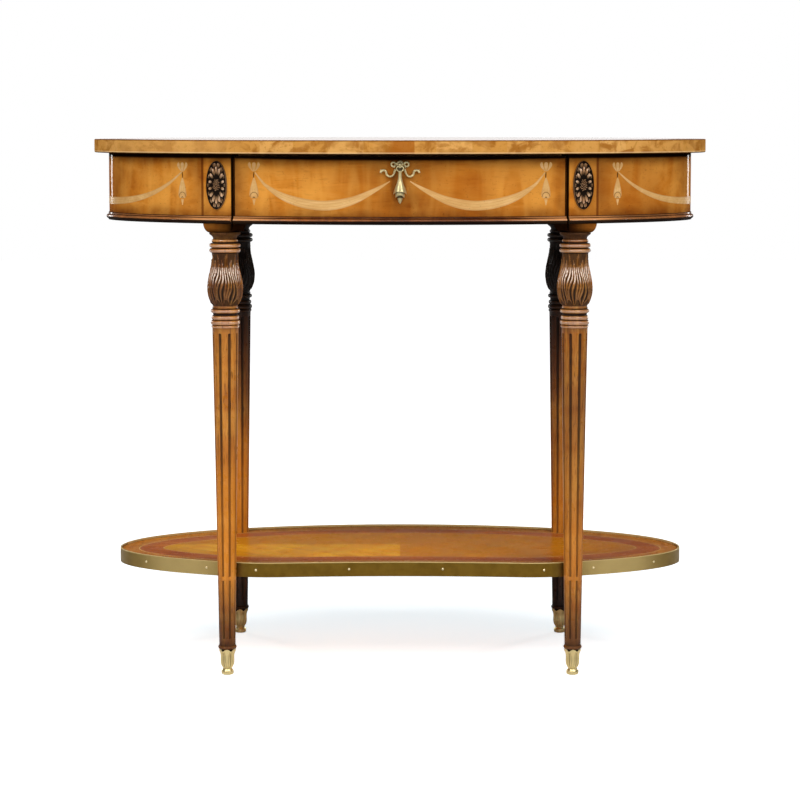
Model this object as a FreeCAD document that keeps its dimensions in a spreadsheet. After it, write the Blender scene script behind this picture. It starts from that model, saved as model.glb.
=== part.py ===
import FreeCAD, Part
import math
import os
import Sketcher

# Oval side table with one bowed drawer, four turned and fluted legs and a brass-banded lower shelf.
# Millimetres, +Z up, the drawer faces -Y, the origin is on the floor under the middle of the top.

SIZES = {
    # top
    "table_height": 711.0,
    "top_length": 832.0,
    "top_depth": 432.0,
    "top_thickness": 18.0,
    "top_edge_ease": 1.5,
    "top_overhang": 19.5,
    # apron
    "apron_height": 89.0,
    "apron_wall": 22.0,
    "bead_height": 8.0,
    "bead_projection": 4.0,
    "tenon_length": 15.0,
    "tenon_thickness": 9.0,
    "tenon_shoulder": 12.0,
    "tenon_root": 8.0,
    "mortise_spare": 0.8,
    # leg blocks, stationed by angle on the apron's oval
    "leg_angle": 53.0,
    "block_width": 41.0,
    "block_depth": 48.0,
    "leg_setback": 24.0,
    "capital_height": 13.6,
    "capital_slope": 6.5,
    # turning of the leg, from the capital down
    "collar_radius": 20.5,
    "collar_height": 3.0,
    "cavetto_height": 6.5,
    "neck_radius": 15.2,
    "neck_height": 5.6,
    "neck_ring_radius": 20.7,
    "neck_ring_flank": 18.8,
    "neck_ring_height": 6.0,
    "bulb_neck_radius": 17.0,
    "bulb_neck_height": 12.0,
    "bulb_radius": 22.4,
    "bulb_swell_height": 27.5,
    "bulb_belly_height": 13.0,
    "bulb_base_radius": 16.4,
    "bulb_base_height": 19.5,
    "shaft_ring_radius": 19.4,
    "shaft_ring_height": 8.0,
    "scotia_radius": 15.6,
    "scotia_height": 9.0,
    "shaft_top_radius": 17.2,
    "ankle_radius": 10.8,
    "ankle_ring_radius": 12.3,
    "ankle_ring_height": 5.0,
    # flutes
    "flute_count": 8,
    "flute_radius": 2.2,
    "flute_depth": 1.7,
    "flute_top_margin": 5.0,
    "flute_foot_margin": 7.0,
    # brass sabot
    "sabot_height": 35.0,
    "sabot_rim_radius": 11.2,
    "sabot_bulge_radius": 9.4,
    "sabot_bulge_height": 18.0,
    "sabot_neck_radius": 6.0,
    "sabot_neck_height": 8.6,
    "sabot_pad_radius": 8.1,
    "sabot_pad_height": 6.4,
    "spigot_radius": 7.4,
    "spigot_length": 16.0,
    "spigot_clearance": 0.2,
    # carved oval patera
    "patera_width": 29.0,
    "patera_height": 63.0,
    "patera_ground": 1.6,
    "patera_rim": 2.0,
    "patera_relief": 1.6,
    "patera_eye_height": 14.0,
    "patera_eye_width": 9.0,
    # lower shelf
    "shelf_level": 130.0,
    "shelf_thickness": 16.5,
    "shelf_end_setback": 29.5,
    "shelf_back_margin": 46.5,
    "shelf_shoulder_margin": 18.5,
    "shelf_front_inset": 10.5,
    "shelf_sweep_radius": 1600.0,
    "shelf_corner_round": 150.0,
    "band_height": 19.5,
    "band_thickness": 2.2,
    "leg_notch_clearance": 0.3,
    "tongue_width": 8.0,
    "tongue_thickness": 6.0,
    "tongue_length": 38.0,
    "tongue_bite": 4.0,
    "tongue_clearance": 0.1,
    # drawer carcase
    "rail_thickness": 12.0,
    "rail_depth": 38.0,
    "rail_advance": 7.5,
    "rail_tenon_inset": 4.0,
    "rail_tenon_thickness": 6.0,
    "rail_tenon_width": 14.0,
    "rail_tenon_length": 12.0,
    "runner_width": 22.0,
    "guide_width": 12.0,
    "guide_height": 26.0,
    "kicker_width": 22.0,
    "stop_width": 40.0,
    "stop_inset": 78.0,
    "glue_block_side": 20.0,
    "glue_block_reach": 32.0,
    "glue_block_length": 50.0,
    "glue_block_offset": 45.0,
    # drawer
    "drawer_gap": 2.4,
    "drawer_front_thickness": 20.0,
    "drawer_leg_room": 32.2,
    "drawer_side_thickness": 10.0,
    "drawer_side_gap": 0.5,
    "drawer_lift": 0.3,
    "drawer_head_gap": 1.0,
    "drawer_back_room": 46.5,
    "drawer_back_thickness": 10.0,
    "drawer_stop_gap": 0.5,
    "drawer_side_lap": 8.5,
    "drawer_bottom_thickness": 5.0,
    "drawer_bottom_rise": 6.0,
    "groove_depth": 5.0,
    "dovetail_width": 10.0,
    "dovetail_flare": 2.0,
    "dovetail_length": 11.0,
    # cast pull and its drop
    "pull_fall": 15.5,
    "pull_reach": 9.7,
    "boss_radius": 3.0,
    "boss_tip": 3.0,
    "bow_base_radius": 5.6,
    "bow_base_depth": 3.0,
    "bow_knot_radius": 4.6,
    "bow_knot_depth": 5.0,
    "bow_knot_rise": 4.0,
    "bow_loop_radius": 3.4,
    "bow_loop_spread": 9.0,
    "bow_loop_rise": 3.0,
    "ribbon_width": 2.2,
    "ribbon_depth": 2.2,
    "ribbon_wave": 5.4,
    "ribbon_curl": 3.4,
    "ribbon_drop": 8.5,
    "ribbon_start": 8.0,
    "eye_half_width": 3.8,
    "eye_wire_radius": 0.9,
    "eye_clearance": 0.05,
    "eye_leg": 5.2,
    "drop_neck_radius": 2.3,
    "drop_neck_length": 11.0,
    "drop_bell_radius": 7.8,
    "drop_bell_length": 17.5,
    "drop_band_radius": 6.6,
    "drop_band_length": 6.0,
    "drop_bud_length": 9.0,
    "pull_screw_radius": 2.0,
    "pull_screw_clearance": 0.1,
    "pull_screw_head_radius": 4.2,
    "pull_screw_head_height": 2.6,
    "pull_screw_bite": 5.0,
}


doc = FreeCAD.newDocument("oval_side_table")
sheet = doc.addObject("Spreadsheet::Sheet", "Sizes")
for row, (alias, number) in enumerate(SIZES.items(), start=1):
    sheet.set(f"A{row}", alias)
    sheet.set(f"B{row}", str(number))
    sheet.setAlias(f"B{row}", alias)
doc.recompute()


class Measure:
    """A size that knows its number and the sheet expression that drives it."""

    def __init__(self, value, text):
        self.value = float(value)
        self.text = text

    def __add__(self, other):
        other = measure(other)
        return Measure(self.value + other.value, f"({self.text} + {other.text})")

    def __sub__(self, other):
        other = measure(other)
        return Measure(self.value - other.value, f"({self.text} - {other.text})")

    def __mul__(self, other):
        other = measure(other)
        return Measure(self.value * other.value, f"{self.text} * {other.text}")

    def __truediv__(self, other):
        other = measure(other)
        return Measure(self.value / other.value, f"{self.text} / ({other.text})")

    def __radd__(self, other):
        return measure(other) + self

    def __rsub__(self, other):
        return measure(other) - self

    def __rmul__(self, other):
        return measure(other) * self

    def __neg__(self):
        return Measure(-self.value, f"(0 - {self.text})")


def measure(thing):
    if isinstance(thing, Measure):
        return thing
    return Measure(thing, f"({float(thing)})")


def size(alias):
    return Measure(sheet.get(alias), f"Sizes.{alias}")


def cosine(angle):
    angle = measure(angle)
    return Measure(math.cos(math.radians(angle.value)), f"cos({angle.text})")


def sine(angle):
    angle = measure(angle)
    return Measure(math.sin(math.radians(angle.value)), f"sin({angle.text})")


def bearing_of(rise, run):
    angle = math.degrees(math.atan2(rise.value, run.value))
    return Measure(angle, f"(atan2({rise.text}; {run.text}) / 1 deg)")


def root(square):
    return Measure(math.sqrt(square.value), f"sqrt({square.text})")


# levels and half sizes that several pieces share
apron_top = size("table_height") - size("top_thickness")
apron_foot = apron_top - size("apron_height")
apron_half_x = size("top_length") / 2 - size("top_overhang")
apron_half_y = size("top_depth") / 2 - size("top_overhang")
station_x = apron_half_x * cosine(size("leg_angle"))
station_y = apron_half_y * sine(size("leg_angle"))
block_turn = bearing_of(apron_half_y * cosine(size("leg_angle")), apron_half_x * sine(size("leg_angle")))
leg_x = station_x - size("leg_setback") * sine(block_turn)
leg_y = station_y - size("leg_setback") * cosine(block_turn)
far = size("top_length")
drawer_half = leg_x - size("drawer_leg_room")
drawer_back = apron_half_y - size("apron_wall") - size("drawer_back_room")
rail_front = leg_y + size("rail_advance")
pull_level = apron_top - size("pull_fall")
shelf_half_x = size("top_length") / 2 - size("shelf_end_setback")
shelf_back = leg_y + size("shelf_back_margin")
shelf_shoulder = leg_y + size("shelf_shoulder_margin")
shelf_front = leg_y - size("shelf_front_inset")

LEGS = {
    "front_left": (-1, -1),
    "front_right": (1, -1),
    "rear_left": (-1, 1),
    "rear_right": (1, 1),
}


def bind(item, **sizes):
    for name, amount in sizes.items():
        item.setExpression(name, measure(amount).text)


def place(item, x=0, y=0, z=0, turn=None):
    item.setExpression("Placement.Base.x", measure(x).text)
    item.setExpression("Placement.Base.y", measure(y).text)
    item.setExpression("Placement.Base.z", measure(z).text)
    if turn is not None:
        item.setExpression("Placement.Rotation.Angle", measure(turn).text)
    return item


def box(name, x0, x1, y0, y1, z0, z1):
    item = doc.addObject("Part::Box", name)
    bind(item, Length=measure(x1) - x0, Width=measure(y1) - y0, Height=measure(z1) - z0)
    return place(item, x0, y0, z0)


def cylinder(name, radius, height, x=0, y=0, z=0, tilt=None):
    item = doc.addObject("Part::Cylinder", name)
    bind(item, Radius=radius, Height=height)
    if tilt is not None:
        item.Placement.Rotation = tilt
    return place(item, x, y, z)


def along_x():
    return FreeCAD.Rotation(FreeCAD.Vector(0, 1, 0), 90)


def along_y():
    return FreeCAD.Rotation(FreeCAD.Vector(1, 0, 0), -90)


def oval(name, half_x, half_y, z, height):
    ring = doc.addObject("Part::Ellipse", f"{name}_line")
    bind(ring, MajorRadius=half_x, MinorRadius=half_y)
    item = doc.addObject("Part::Extrusion", name)
    item.Base = ring
    item.DirMode = "Custom"
    item.Dir = FreeCAD.Vector(0, 0, 1)
    item.Solid = True
    bind(item, LengthFwd=height)
    return place(item, 0, 0, z)


def together(name, items):
    if len(items) == 1:
        return items[0]
    item = doc.addObject("Part::Compound", name)
    item.Links = items
    return item


def cut(name, base, tools):
    item = doc.addObject("Part::Cut", name)
    item.Base = base
    item.Tool = together(f"{name}_tools", tools)
    return item


def common(name, base, tool):
    item = doc.addObject("Part::Common", name)
    item.Base = base
    item.Tool = tool
    return item


def fuse(name, items):
    item = doc.addObject("Part::MultiFuse", name)
    item.Shapes = items
    return item


def edge_feature(kind, name, base, chosen, amount):
    doc.recompute()
    item = doc.addObject(kind, name)
    item.Base = base
    numbers = [i for i, edge in enumerate(base.Shape.Edges, start=1) if chosen(edge)]
    item.Edges = [(i, amount, amount) for i in numbers]
    return item


def round_edges(name, base, chosen, radius):
    return edge_feature("Part::Fillet", name, base, chosen, radius)


def ease_edges(name, base, chosen, amount):
    return edge_feature("Part::Chamfer", name, base, chosen, amount)


def new_body(name):
    return doc.addObject("PartDesign::Body", name)


def origin_part(body, role):
    return next(item for item in body.Origin.OriginFeatures if item.Role == role)


def new_sketch(body, name, role, lift=None):
    sketch = body.newObject("Sketcher::SketchObject", name)
    sketch.AttachmentSupport = [(origin_part(body, role), "")]
    sketch.MapMode = "FlatFace"
    if lift is not None:
        sketch.setExpression("AttachmentOffset.Base.z", measure(lift).text)
    return sketch


def pin_coordinate(sketch, geo, pos, kind, amount):
    """Ties one coordinate of a sketch point to a size; kind is DistanceX or DistanceY."""
    if abs(amount.value) < 1e-9:
        axis = -2 if kind == "DistanceX" else -1
        sketch.addConstraint(Sketcher.Constraint("PointOnObject", geo, pos, axis))
        return
    if amount.value > 0:
        rule = Sketcher.Constraint(kind, -1, 1, geo, pos, amount.value)
    else:
        amount = -amount
        rule = Sketcher.Constraint(kind, geo, pos, -1, 1, amount.value)
    number = sketch.addConstraint(rule)
    sketch.setExpression(f"Constraints[{number}]", amount.text)


def pin_point(sketch, geo, pos, x, y):
    pin_coordinate(sketch, geo, pos, "DistanceX", measure(x))
    pin_coordinate(sketch, geo, pos, "DistanceY", measure(y))


def draw(sketch, stations):
    """Closed outline of straight runs through stations (x, y)."""
    spots = [(measure(x), measure(y)) for x, y in stations]
    lines = []
    for start, end in zip(spots, spots[1:] + spots[:1]):
        ends = [FreeCAD.Vector(x.value, y.value, 0) for x, y in (start, end)]
        lines.append(sketch.addGeometry(Part.LineSegment(*ends), False))
    for i, line in enumerate(lines):
        sketch.addConstraint(Sketcher.Constraint("Coincident", lines[i - 1], 2, line, 1))
    for line, (x, y) in zip(lines, spots):
        pin_point(sketch, line, 1, x, y)


def turned(body, name, stations):
    sketch = new_sketch(body, f"{name}_profile", "XZ_Plane")
    draw(sketch, stations)
    spin = body.newObject("PartDesign::Revolution", name)
    spin.Profile = sketch
    spin.ReferenceAxis = (sketch, ["V_Axis"])
    spin.Angle = 360
    return spin


class Block:
    """One leg block's own frame: u runs along the apron, n points out of it, at the leg's axis."""

    def __init__(self, side_x, side_y):
        self.x = leg_x * side_x
        self.y = leg_y * side_y
        self.inner = -side_x * side_y
        self.turn = block_turn * (-side_x * side_y)
        if side_y < 0:
            self.turn = self.turn + 180

    def spot(self, u, n):
        x = self.x + measure(u) * cosine(self.turn) - measure(n) * sine(self.turn)
        y = self.y + measure(u) * sine(self.turn) + measure(n) * cosine(self.turn)
        return x, y

    def box(self, name, u0, u1, n0, n1, z0, z1):
        item = doc.addObject("Part::Box", name)
        bind(item, Length=measure(u1) - u0, Width=measure(n1) - n0, Height=measure(z1) - z0)
        x, y = self.spot(u0, n0)
        return place(item, x, y, z0, self.turn)

    def side_box(self, name, side, start, reach, n0, n1, z0, z1):
        """Box that starts at a distance from the axis on one side; side 1 is the drawer side."""
        first = measure(start)
        last = first + reach
        if side * self.inner > 0:
            return self.box(name, first, last, n0, n1, z0, z1)
        return self.box(name, -last, -first, n0, n1, z0, z1)


blocks = {name: Block(*sides) for name, sides in LEGS.items()}
half_block = size("block_width") / 2
nodes = {}


def keep(label, item):
    item.Label = label
    nodes[label] = item
    return item


# Apron walls and the joints that hold them in the leg blocks

wall_tenon_n = size("leg_setback") - size("apron_wall") / 2 - size("tenon_thickness") / 2
wall_tenon_foot = apron_foot + size("tenon_shoulder")
wall_tenon_head = apron_top - size("tenon_shoulder")
rail_tenon_n = -(size("rail_tenon_width") + size("rail_tenon_inset"))
bead_head = apron_foot + size("bead_height")
BEAD_NOSE = 0.5


def tenon(name, leg, side, n0, width, z0, z1, length, spare):
    """Tenon that starts inside its rail and ends in the block, or its mortise when spare is added."""
    start = half_block - length - spare
    reach = length + spare + size("tenon_root")
    return blocks[leg].side_box(name, side, start, reach, n0, n0 + width, z0, z1)


def wall_tenon(name, leg, side, spare=0):
    return tenon(name, leg, side, wall_tenon_n, size("tenon_thickness"), wall_tenon_foot, wall_tenon_head,
                 size("tenon_length"), spare)


def rail_tenon(name, leg, rail_foot, spare=0):
    foot = rail_foot + (size("rail_thickness") - size("rail_tenon_thickness")) / 2
    head = foot + size("rail_tenon_thickness")
    return tenon(name, leg, 1, rail_tenon_n, size("rail_tenon_width"), foot, head, size("rail_tenon_length"),
                 spare)


def beyond(name, leg, side, gap, z0, z1):
    """Everything past one side of a leg block, as seen from the side that is kept."""
    start = measure(gap) + half_block - far * 2
    return blocks[leg].side_box(name, side, start, far * 2, -far, far, z0, z1)


def apron_ring(name, half_x, half_y, wall, z0, height):
    outer = oval(f"{name}_outer", half_x, half_y, z0, height)
    inner = oval(f"{name}_inner", half_x - wall, half_y - wall, z0, height)
    return cut(name, outer, [inner])


def bay_zone(name, row, z0, z1):
    """Room of the front or the rear bay, clear of the ovals' own ends."""
    if row == "rear":
        return box(name, -far, far, leg_y / 2, far, z0, z1)
    return box(name, -far, far, -far, -leg_y / 2, z0, z1)


def apron_inside(name, z0, height):
    return oval(name, apron_half_x - size("apron_wall"), apron_half_y - size("apron_wall"), z0, height)


def apron_end(side):
    ring = apron_ring(f"end_{side}_ring", apron_half_x, apron_half_y, size("apron_wall"), apron_foot,
                      size("apron_height"))
    ends = [f"front_{side}", f"rear_{side}"]
    limits = [beyond(f"end_limit_{leg}", leg, -1, 0, apron_foot, apron_top) for leg in ends]
    wall = cut(f"end_{side}_first", ring, limits[:1])
    wall = cut(f"end_{side}_wall", wall, limits[1:])
    tenons = [wall_tenon(f"end_tenon_{leg}", leg, -1) for leg in ends]
    keep(f"apron_end_{side}", fuse(f"apron_end_{side}", [wall] + tenons))


def apron_back():
    ring = apron_ring("back_ring", apron_half_x, apron_half_y, size("apron_wall"), apron_foot,
                      size("apron_height"))
    half = common("back_half", ring, bay_zone("back_zone", "rear", apron_foot, apron_top))
    ends = ["rear_left", "rear_right"]
    wall = cut("back_first", half, [beyond("back_limit_left", ends[0], 1, 0, apron_foot, apron_top)])
    wall = cut("back_wall", wall, [beyond("back_limit_right", ends[1], 1, 0, apron_foot, apron_top)])
    tenons = [wall_tenon(f"back_tenon_{leg}", leg, 1) for leg in ends]
    keep("apron_back", fuse("apron_back", [wall] + tenons))


def block_solid(name, leg, foot):
    depth = size("leg_setback") - size("block_depth")
    return blocks[leg].box(name, -half_block, half_block, depth, size("leg_setback"), foot, apron_top)


def bead_strip():
    """Plain strip along the whole foot of the apron, laid against the walls and the leg blocks."""
    reach = size("bead_projection")
    disc = oval("bead_disc", apron_half_x + reach, apron_half_y + reach, apron_foot, size("bead_height"))
    hole = oval("bead_hole", apron_half_x, apron_half_y, apron_foot, size("bead_height"))
    ring = cut("bead_ring", disc, [hole])
    return cut("bead_strip", ring, [block_solid(f"bead_seat_{leg}", leg, apron_foot) for leg in LEGS])


def ease_nose(label, strip):
    """Eases the two outer arrises of a length of bead."""
    reach = size("bead_projection").value
    middle_x = apron_half_x.value + reach / 2
    middle_y = apron_half_y.value + reach / 2

    def outer_arris(edge):
        spot = edge.valueAt((edge.FirstParameter + edge.LastParameter) / 2)
        outside = (spot.x / middle_x) ** 2 + (spot.y / middle_y) ** 2 > 1
        return outside and edge.Length > reach * 10

    nose = min(reach, size("bead_height").value / 2) * BEAD_NOSE
    keep(label, ease_edges(label, strip, outer_arris, nose))


def beads():
    strip = bead_strip()
    for side in ("left", "right"):
        limits = []
        for leg in (f"front_{side}", f"rear_{side}"):
            limits.append(blocks[leg].side_box(f"bead_limit_{leg}", 1, half_block, far * 2, -far, far,
                                               apron_foot, bead_head))
        front = cut(f"bead_{side}_front", strip, limits[:1])
        ease_nose(f"bead_{side}", cut(f"bead_{side}_strip", front, limits[1:]))
    for label, row, gap in (("bead_back", "rear", 0), ("drawer_bead", "front", size("drawer_gap"))):
        half = common(f"{label}_half", strip, bay_zone(f"{label}_zone", row, apron_foot, bead_head))
        left = beyond(f"{label}_limit_left", f"{row}_left", 1, gap, apron_foot, bead_head)
        right = beyond(f"{label}_limit_right", f"{row}_right", 1, gap, apron_foot, bead_head)
        ease_nose(label, cut(f"{label}_strip", cut(f"{label}_trimmed", half, [left]), [right]))


# Turned and fluted legs

turning_head = apron_foot - size("capital_height")
shaft_foot = size("sabot_height") + size("ankle_ring_height")


def leg_stations():
    """Half outline of the turning from the capital to the spigot that the sabot takes."""
    rows = []
    level = turning_head

    def go(radius, drop=0):
        nonlocal level
        level = level - drop
        rows.append((measure(radius), level))

    def ring(name, flank):
        """One turned ring from the level reached: out to the nose at half height and in to a flank."""
        go(size(f"{name}_radius"), size(f"{name}_height") / 2)
        go(size(flank), size(f"{name}_height") / 2)

    rows.append((measure(0), turning_head + size("capital_slope") / 2))
    rows.append((size("collar_radius"), turning_head + size("capital_slope") / 2))
    go(size("collar_radius"), size("collar_height"))
    go(size("neck_radius"), size("cavetto_height"))
    go(size("neck_ring_flank"), size("neck_height"))
    ring("neck_ring", "neck_ring_flank")
    ring("neck_ring", "bulb_neck_radius")
    go(size("bulb_neck_radius"), size("bulb_neck_height"))
    go(size("bulb_radius"), size("bulb_swell_height"))
    go(size("bulb_radius"), size("bulb_belly_height"))
    go(size("bulb_base_radius"), size("bulb_base_height"))
    ring("shaft_ring", "scotia_radius")
    go(size("scotia_radius"), size("scotia_height"))
    ring("shaft_ring", "shaft_top_radius")
    shaft_head = level
    rows.append((size("ankle_radius"), shaft_foot))
    rows.append((size("ankle_ring_radius"), shaft_foot - size("ankle_ring_height") / 3))
    rows.append((size("ankle_ring_radius"), size("sabot_height")))
    rows.append((size("spigot_radius"), size("sabot_height")))
    rows.append((size("spigot_radius"), size("sabot_height") - size("spigot_length")))
    rows.append((measure(0), size("sabot_height") - size("spigot_length")))
    return rows, shaft_head


def shaft_radius(level, shaft_head):
    share = (level - shaft_foot) / (shaft_head - shaft_foot)
    return size("ankle_radius") + (size("shaft_top_radius") - size("ankle_radius")) * share


def flutes(body, name, low, high, shaft_head):
    """Hollow flutes that follow the taper of the shaft, cut once and repeated round it."""
    stand = size("flute_radius") - size("flute_depth")
    sketch = new_sketch(body, f"{name}_cutter", "XZ_Plane")
    turn = FreeCAD.Rotation(FreeCAD.Vector(0, 1, 0), 180 / sheet.get("flute_count"))
    sketch.AttachmentOffset = FreeCAD.Placement(FreeCAD.Vector(), turn)
    inner_low = shaft_radius(low, shaft_head) + stand
    inner_high = shaft_radius(high, shaft_head) + stand
    run_x = inner_high - inner_low
    run_z = high - low
    length = root(run_x * run_x + run_z * run_z)
    across = size("flute_radius") * run_z / length
    rise = size("flute_radius") * run_x / length
    draw(sketch, [(inner_low, low), (inner_low - across, low + rise),
                  (inner_high - across, high + rise), (inner_high, high)])
    ends = [FreeCAD.Vector(x.value, z.value, 0) for x, z in ((inner_low, low), (inner_high, high))]
    geo = sketch.addGeometry(Part.LineSegment(*ends), True)
    pin_point(sketch, geo, 1, inner_low, low)
    pin_point(sketch, geo, 2, inner_high, high)
    groove = body.newObject("PartDesign::Groove", name)
    groove.Profile = sketch
    groove.ReferenceAxis = (sketch, ["Axis0"])
    groove.Angle = 360
    ring = body.newObject("PartDesign::PolarPattern", f"{name}_ring")
    ring.Originals = [groove]
    ring.Axis = (origin_part(body, "Z_Axis"), [""])
    ring.Angle = 360
    ring.setExpression("Occurrences", "Sizes.flute_count")
    body.Tip = ring


def leg(name):
    block = blocks[name]
    body = new_body(f"leg_{name}_body")
    plan = new_sketch(body, f"leg_{name}_plan", "XY_Plane", turning_head)
    plan.setExpression("AttachmentOffset.Rotation.Angle", block.turn.text)
    back = size("leg_setback") - size("block_depth")
    front = size("leg_setback")
    draw(plan, [(-half_block, back), (half_block, back), (half_block, front), (-half_block, front)])
    head = body.newObject("PartDesign::Pad", f"leg_{name}_block")
    head.Profile = plan
    bind(head, Length=apron_top - turning_head)
    doc.recompute()
    rim = [f"Edge{i}" for i, edge in enumerate(head.Shape.Edges, start=1)
           if all(abs(v.Z - turning_head.value) < 1e-6 for v in edge.Vertexes)]
    slope = body.newObject("PartDesign::Chamfer", f"leg_{name}_capital")
    slope.Base = (head, rim)
    bind(slope, Size=size("capital_slope"))
    stations, shaft_head = leg_stations()
    turned(body, f"leg_{name}_turning", stations)
    doc.recompute()
    flutes(body, f"leg_{name}_flutes", shaft_foot + size("flute_foot_margin"),
           shaft_head - size("flute_top_margin"), shaft_head)
    place(body, block.x, block.y, 0)
    spare = size("mortise_spare")
    tools = [wall_tenon(f"leg_{name}_end_mortise", name, -1, spare)]
    if name.startswith("rear"):
        tools.append(wall_tenon(f"leg_{name}_back_mortise", name, 1, spare))
    else:
        tools.append(rail_tenon(f"leg_{name}_low_mortise", name, apron_foot, spare))
        upper_rail = apron_top - size("rail_thickness")
        tools.append(rail_tenon(f"leg_{name}_high_mortise", name, upper_rail, spare))
    tools.append(shelf_tenon(f"leg_{name}_shelf_mortise", name, size("tongue_clearance")))
    keep(f"leg_{name}", cut(f"leg_{name}", body, tools))


def sabot(name):
    """Cast brass foot: flared cup, waist and round pad, hollow for the leg's spigot."""
    body = new_body(f"sabot_{name}")
    gap = size("spigot_clearance")
    floor = size("sabot_height") - size("spigot_length") - gap
    stations = [
        (0, 0),
        (size("sabot_pad_radius"), 0),
        (size("sabot_pad_radius"), size("sabot_pad_height")),
        (size("sabot_neck_radius"), size("sabot_neck_height")),
        (size("sabot_bulge_radius"), size("sabot_bulge_height")),
        (size("sabot_rim_radius"), size("sabot_height")),
        (size("spigot_radius") + gap, size("sabot_height")),
        (size("spigot_radius") + gap, floor),
        (0, floor),
    ]
    turned(body, f"sabot_{name}_casting", stations)
    return place(body, blocks[name].x, blocks[name].y, 0)


def patera(name):
    """Oval boss on a leg block: a sunk ground inside a raised rim, with an oval eye."""
    half_w = size("patera_width") / 2
    half_h = size("patera_height") / 2
    rim = size("patera_rim")
    thick = size("patera_ground") + size("patera_relief")
    blank = oval(f"patera_{name}_blank", half_h, half_w, 0, thick)
    sunk = oval(f"patera_{name}_sunk", half_h - rim, half_w - rim, size("patera_ground"),
                size("patera_relief"))
    dish = cut(f"patera_{name}_dish", blank, [sunk])
    eye_half_h = size("patera_eye_height") / 2
    eye = oval(f"patera_{name}_eye", eye_half_h, size("patera_eye_width") / 2, 0, thick)
    flower = fuse(f"patera_{name}", [dish, eye])
    x, y = blocks[name].spot(0, size("leg_setback"))
    z_axis = FreeCAD.Vector(0, 0, 1)
    bearing = FreeCAD.Rotation(z_axis, blocks[name].turn.value + 90)
    upright = FreeCAD.Rotation(FreeCAD.Vector(0, 1, 0), 90).multiply(FreeCAD.Rotation(z_axis, 180))
    flower.Placement.Rotation = bearing.multiply(upright)
    return place(flower, x, y, (bead_head + apron_top) / 2)


# Lower shelf, its brass band and fixings

band_foot = size("shelf_level")
tongue_foot = size("shelf_level") + (size("shelf_thickness") - size("tongue_thickness")) / 2


def shelf_tenon(name, leg, spare=0):
    """Loose tenon from the leg's heart into the shelf; the same shape with spare room is its mortise."""
    half = size("tongue_width") / 2 + spare
    x = blocks[leg].x
    near = leg_y + size("tongue_bite") + spare
    away = leg_y + size("tongue_bite") - size("tongue_length") - spare
    y0, y1 = (away, near) if LEGS[leg][1] > 0 else (-near, -away)
    tongue_head = tongue_foot + size("tongue_thickness")
    return box(name, x - half, x + half, y0, y1, tongue_foot - spare, tongue_head + spare)


def shelf_slab(name, inset, height):
    """The shelf's plan: a half oval behind, a flatter one in front that sweeps in between the legs."""
    half_x = shelf_half_x - inset
    head = band_foot + height
    rear = oval(f"{name}_rear", half_x, shelf_back - inset, band_foot, height)
    front = oval(f"{name}_front", half_x, shelf_shoulder - inset, band_foot, height)
    rear_zone = box(f"{name}_rear_zone", -far, far, 0, far, band_foot, head)
    front_zone = box(f"{name}_front_zone", -far, far, -far, 0, band_foot, head)
    rear_half = common(f"{name}_rear_half", rear, rear_zone)
    front_half = common(f"{name}_front_half", front, front_zone)
    plan = fuse(f"{name}_plan", [rear_half, front_half])
    sweep_y = -(shelf_front + size("shelf_sweep_radius"))
    sweep = cylinder(f"{name}_sweep", size("shelf_sweep_radius") + inset, height, 0, sweep_y, band_foot)
    swept = cut(f"{name}_swept", plan, [sweep])
    doc.recompute()

    def front_corner(edge):
        ends = edge.Vertexes
        upright = len(ends) == 2 and abs(ends[0].X - ends[1].X) + abs(ends[0].Y - ends[1].Y) < 1e-6
        return upright and ends[0].Y < -shelf_front.value / 2

    corner = size("shelf_corner_round").value - measure(inset).value
    return round_edges(f"{name}_slab", swept, front_corner, corner)


def leg_holes(name):
    """Clearance for the four legs through the shelf and its band."""
    _, shaft_head = leg_stations()
    radius = shaft_radius(band_foot + size("band_height"), shaft_head) + size("leg_notch_clearance")
    return [cylinder(f"{name}_{leg}", radius, size("band_height"), blocks[leg].x, blocks[leg].y, band_foot)
            for leg in LEGS]


def shelf():
    outer = shelf_slab("band_outside", measure(0), size("band_height"))
    inner = shelf_slab("band_inside", size("band_thickness"), size("band_height"))
    board = shelf_slab("board", size("band_thickness"), size("shelf_thickness"))
    ring = cut("band_ring", outer, [inner])
    slots = [shelf_tenon(f"shelf_slot_{leg}", leg, size("tongue_clearance")) for leg in LEGS]
    split = cut("band_split", ring, leg_holes("band_gap") + slots)
    head = band_foot + size("band_height")
    zones = {
        "band_front": (-leg_x, leg_x, -far, measure(0)),
        "band_back": (-leg_x, leg_x, measure(0), far),
        "band_left": (-far, -leg_x, -far, far),
        "band_right": (leg_x, far, -far, far),
    }
    for label, (x0, x1, y0, y1) in zones.items():
        keep(label, common(label, split, box(f"{label}_zone", x0, x1, y0, y1, band_foot, head)))
    notched = cut("board_notched", board, leg_holes("board_notch"))
    keep("shelf_board", cut("shelf_board", notched, slots))
    tenons = [shelf_tenon(f"shelf_tenon_{leg}", leg) for leg in LEGS]
    keep("shelf_tenons", together("shelf_tenons", tenons))


# Carcase inside the apron that carries the drawer

runner_head = apron_foot + size("rail_thickness")
kicker_foot = apron_top - size("rail_thickness")
rail_back = -(rail_front - size("rail_depth"))
guide_head = runner_head + size("guide_height")
guide_in = drawer_half + size("drawer_side_gap")
guide_out = guide_in + size("guide_width")
side_middle = drawer_half - size("drawer_side_thickness") / 2


def front_rail(label, foot):
    head = foot + size("rail_thickness")
    plank = box(f"{label}_plank", -far, far, -rail_front, rail_back, foot, head)
    first = cut(f"{label}_first", plank, [beyond(f"{label}_limit_left", "front_left", 1, 0, foot, head)])
    rail = cut(f"{label}_rail", first, [beyond(f"{label}_limit_right", "front_right", 1, 0, foot, head)])
    tenons = [rail_tenon(f"{label}_tenon_{leg}", leg, foot) for leg in ("front_left", "front_right")]
    return fuse(label, [rail] + tenons)


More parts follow.
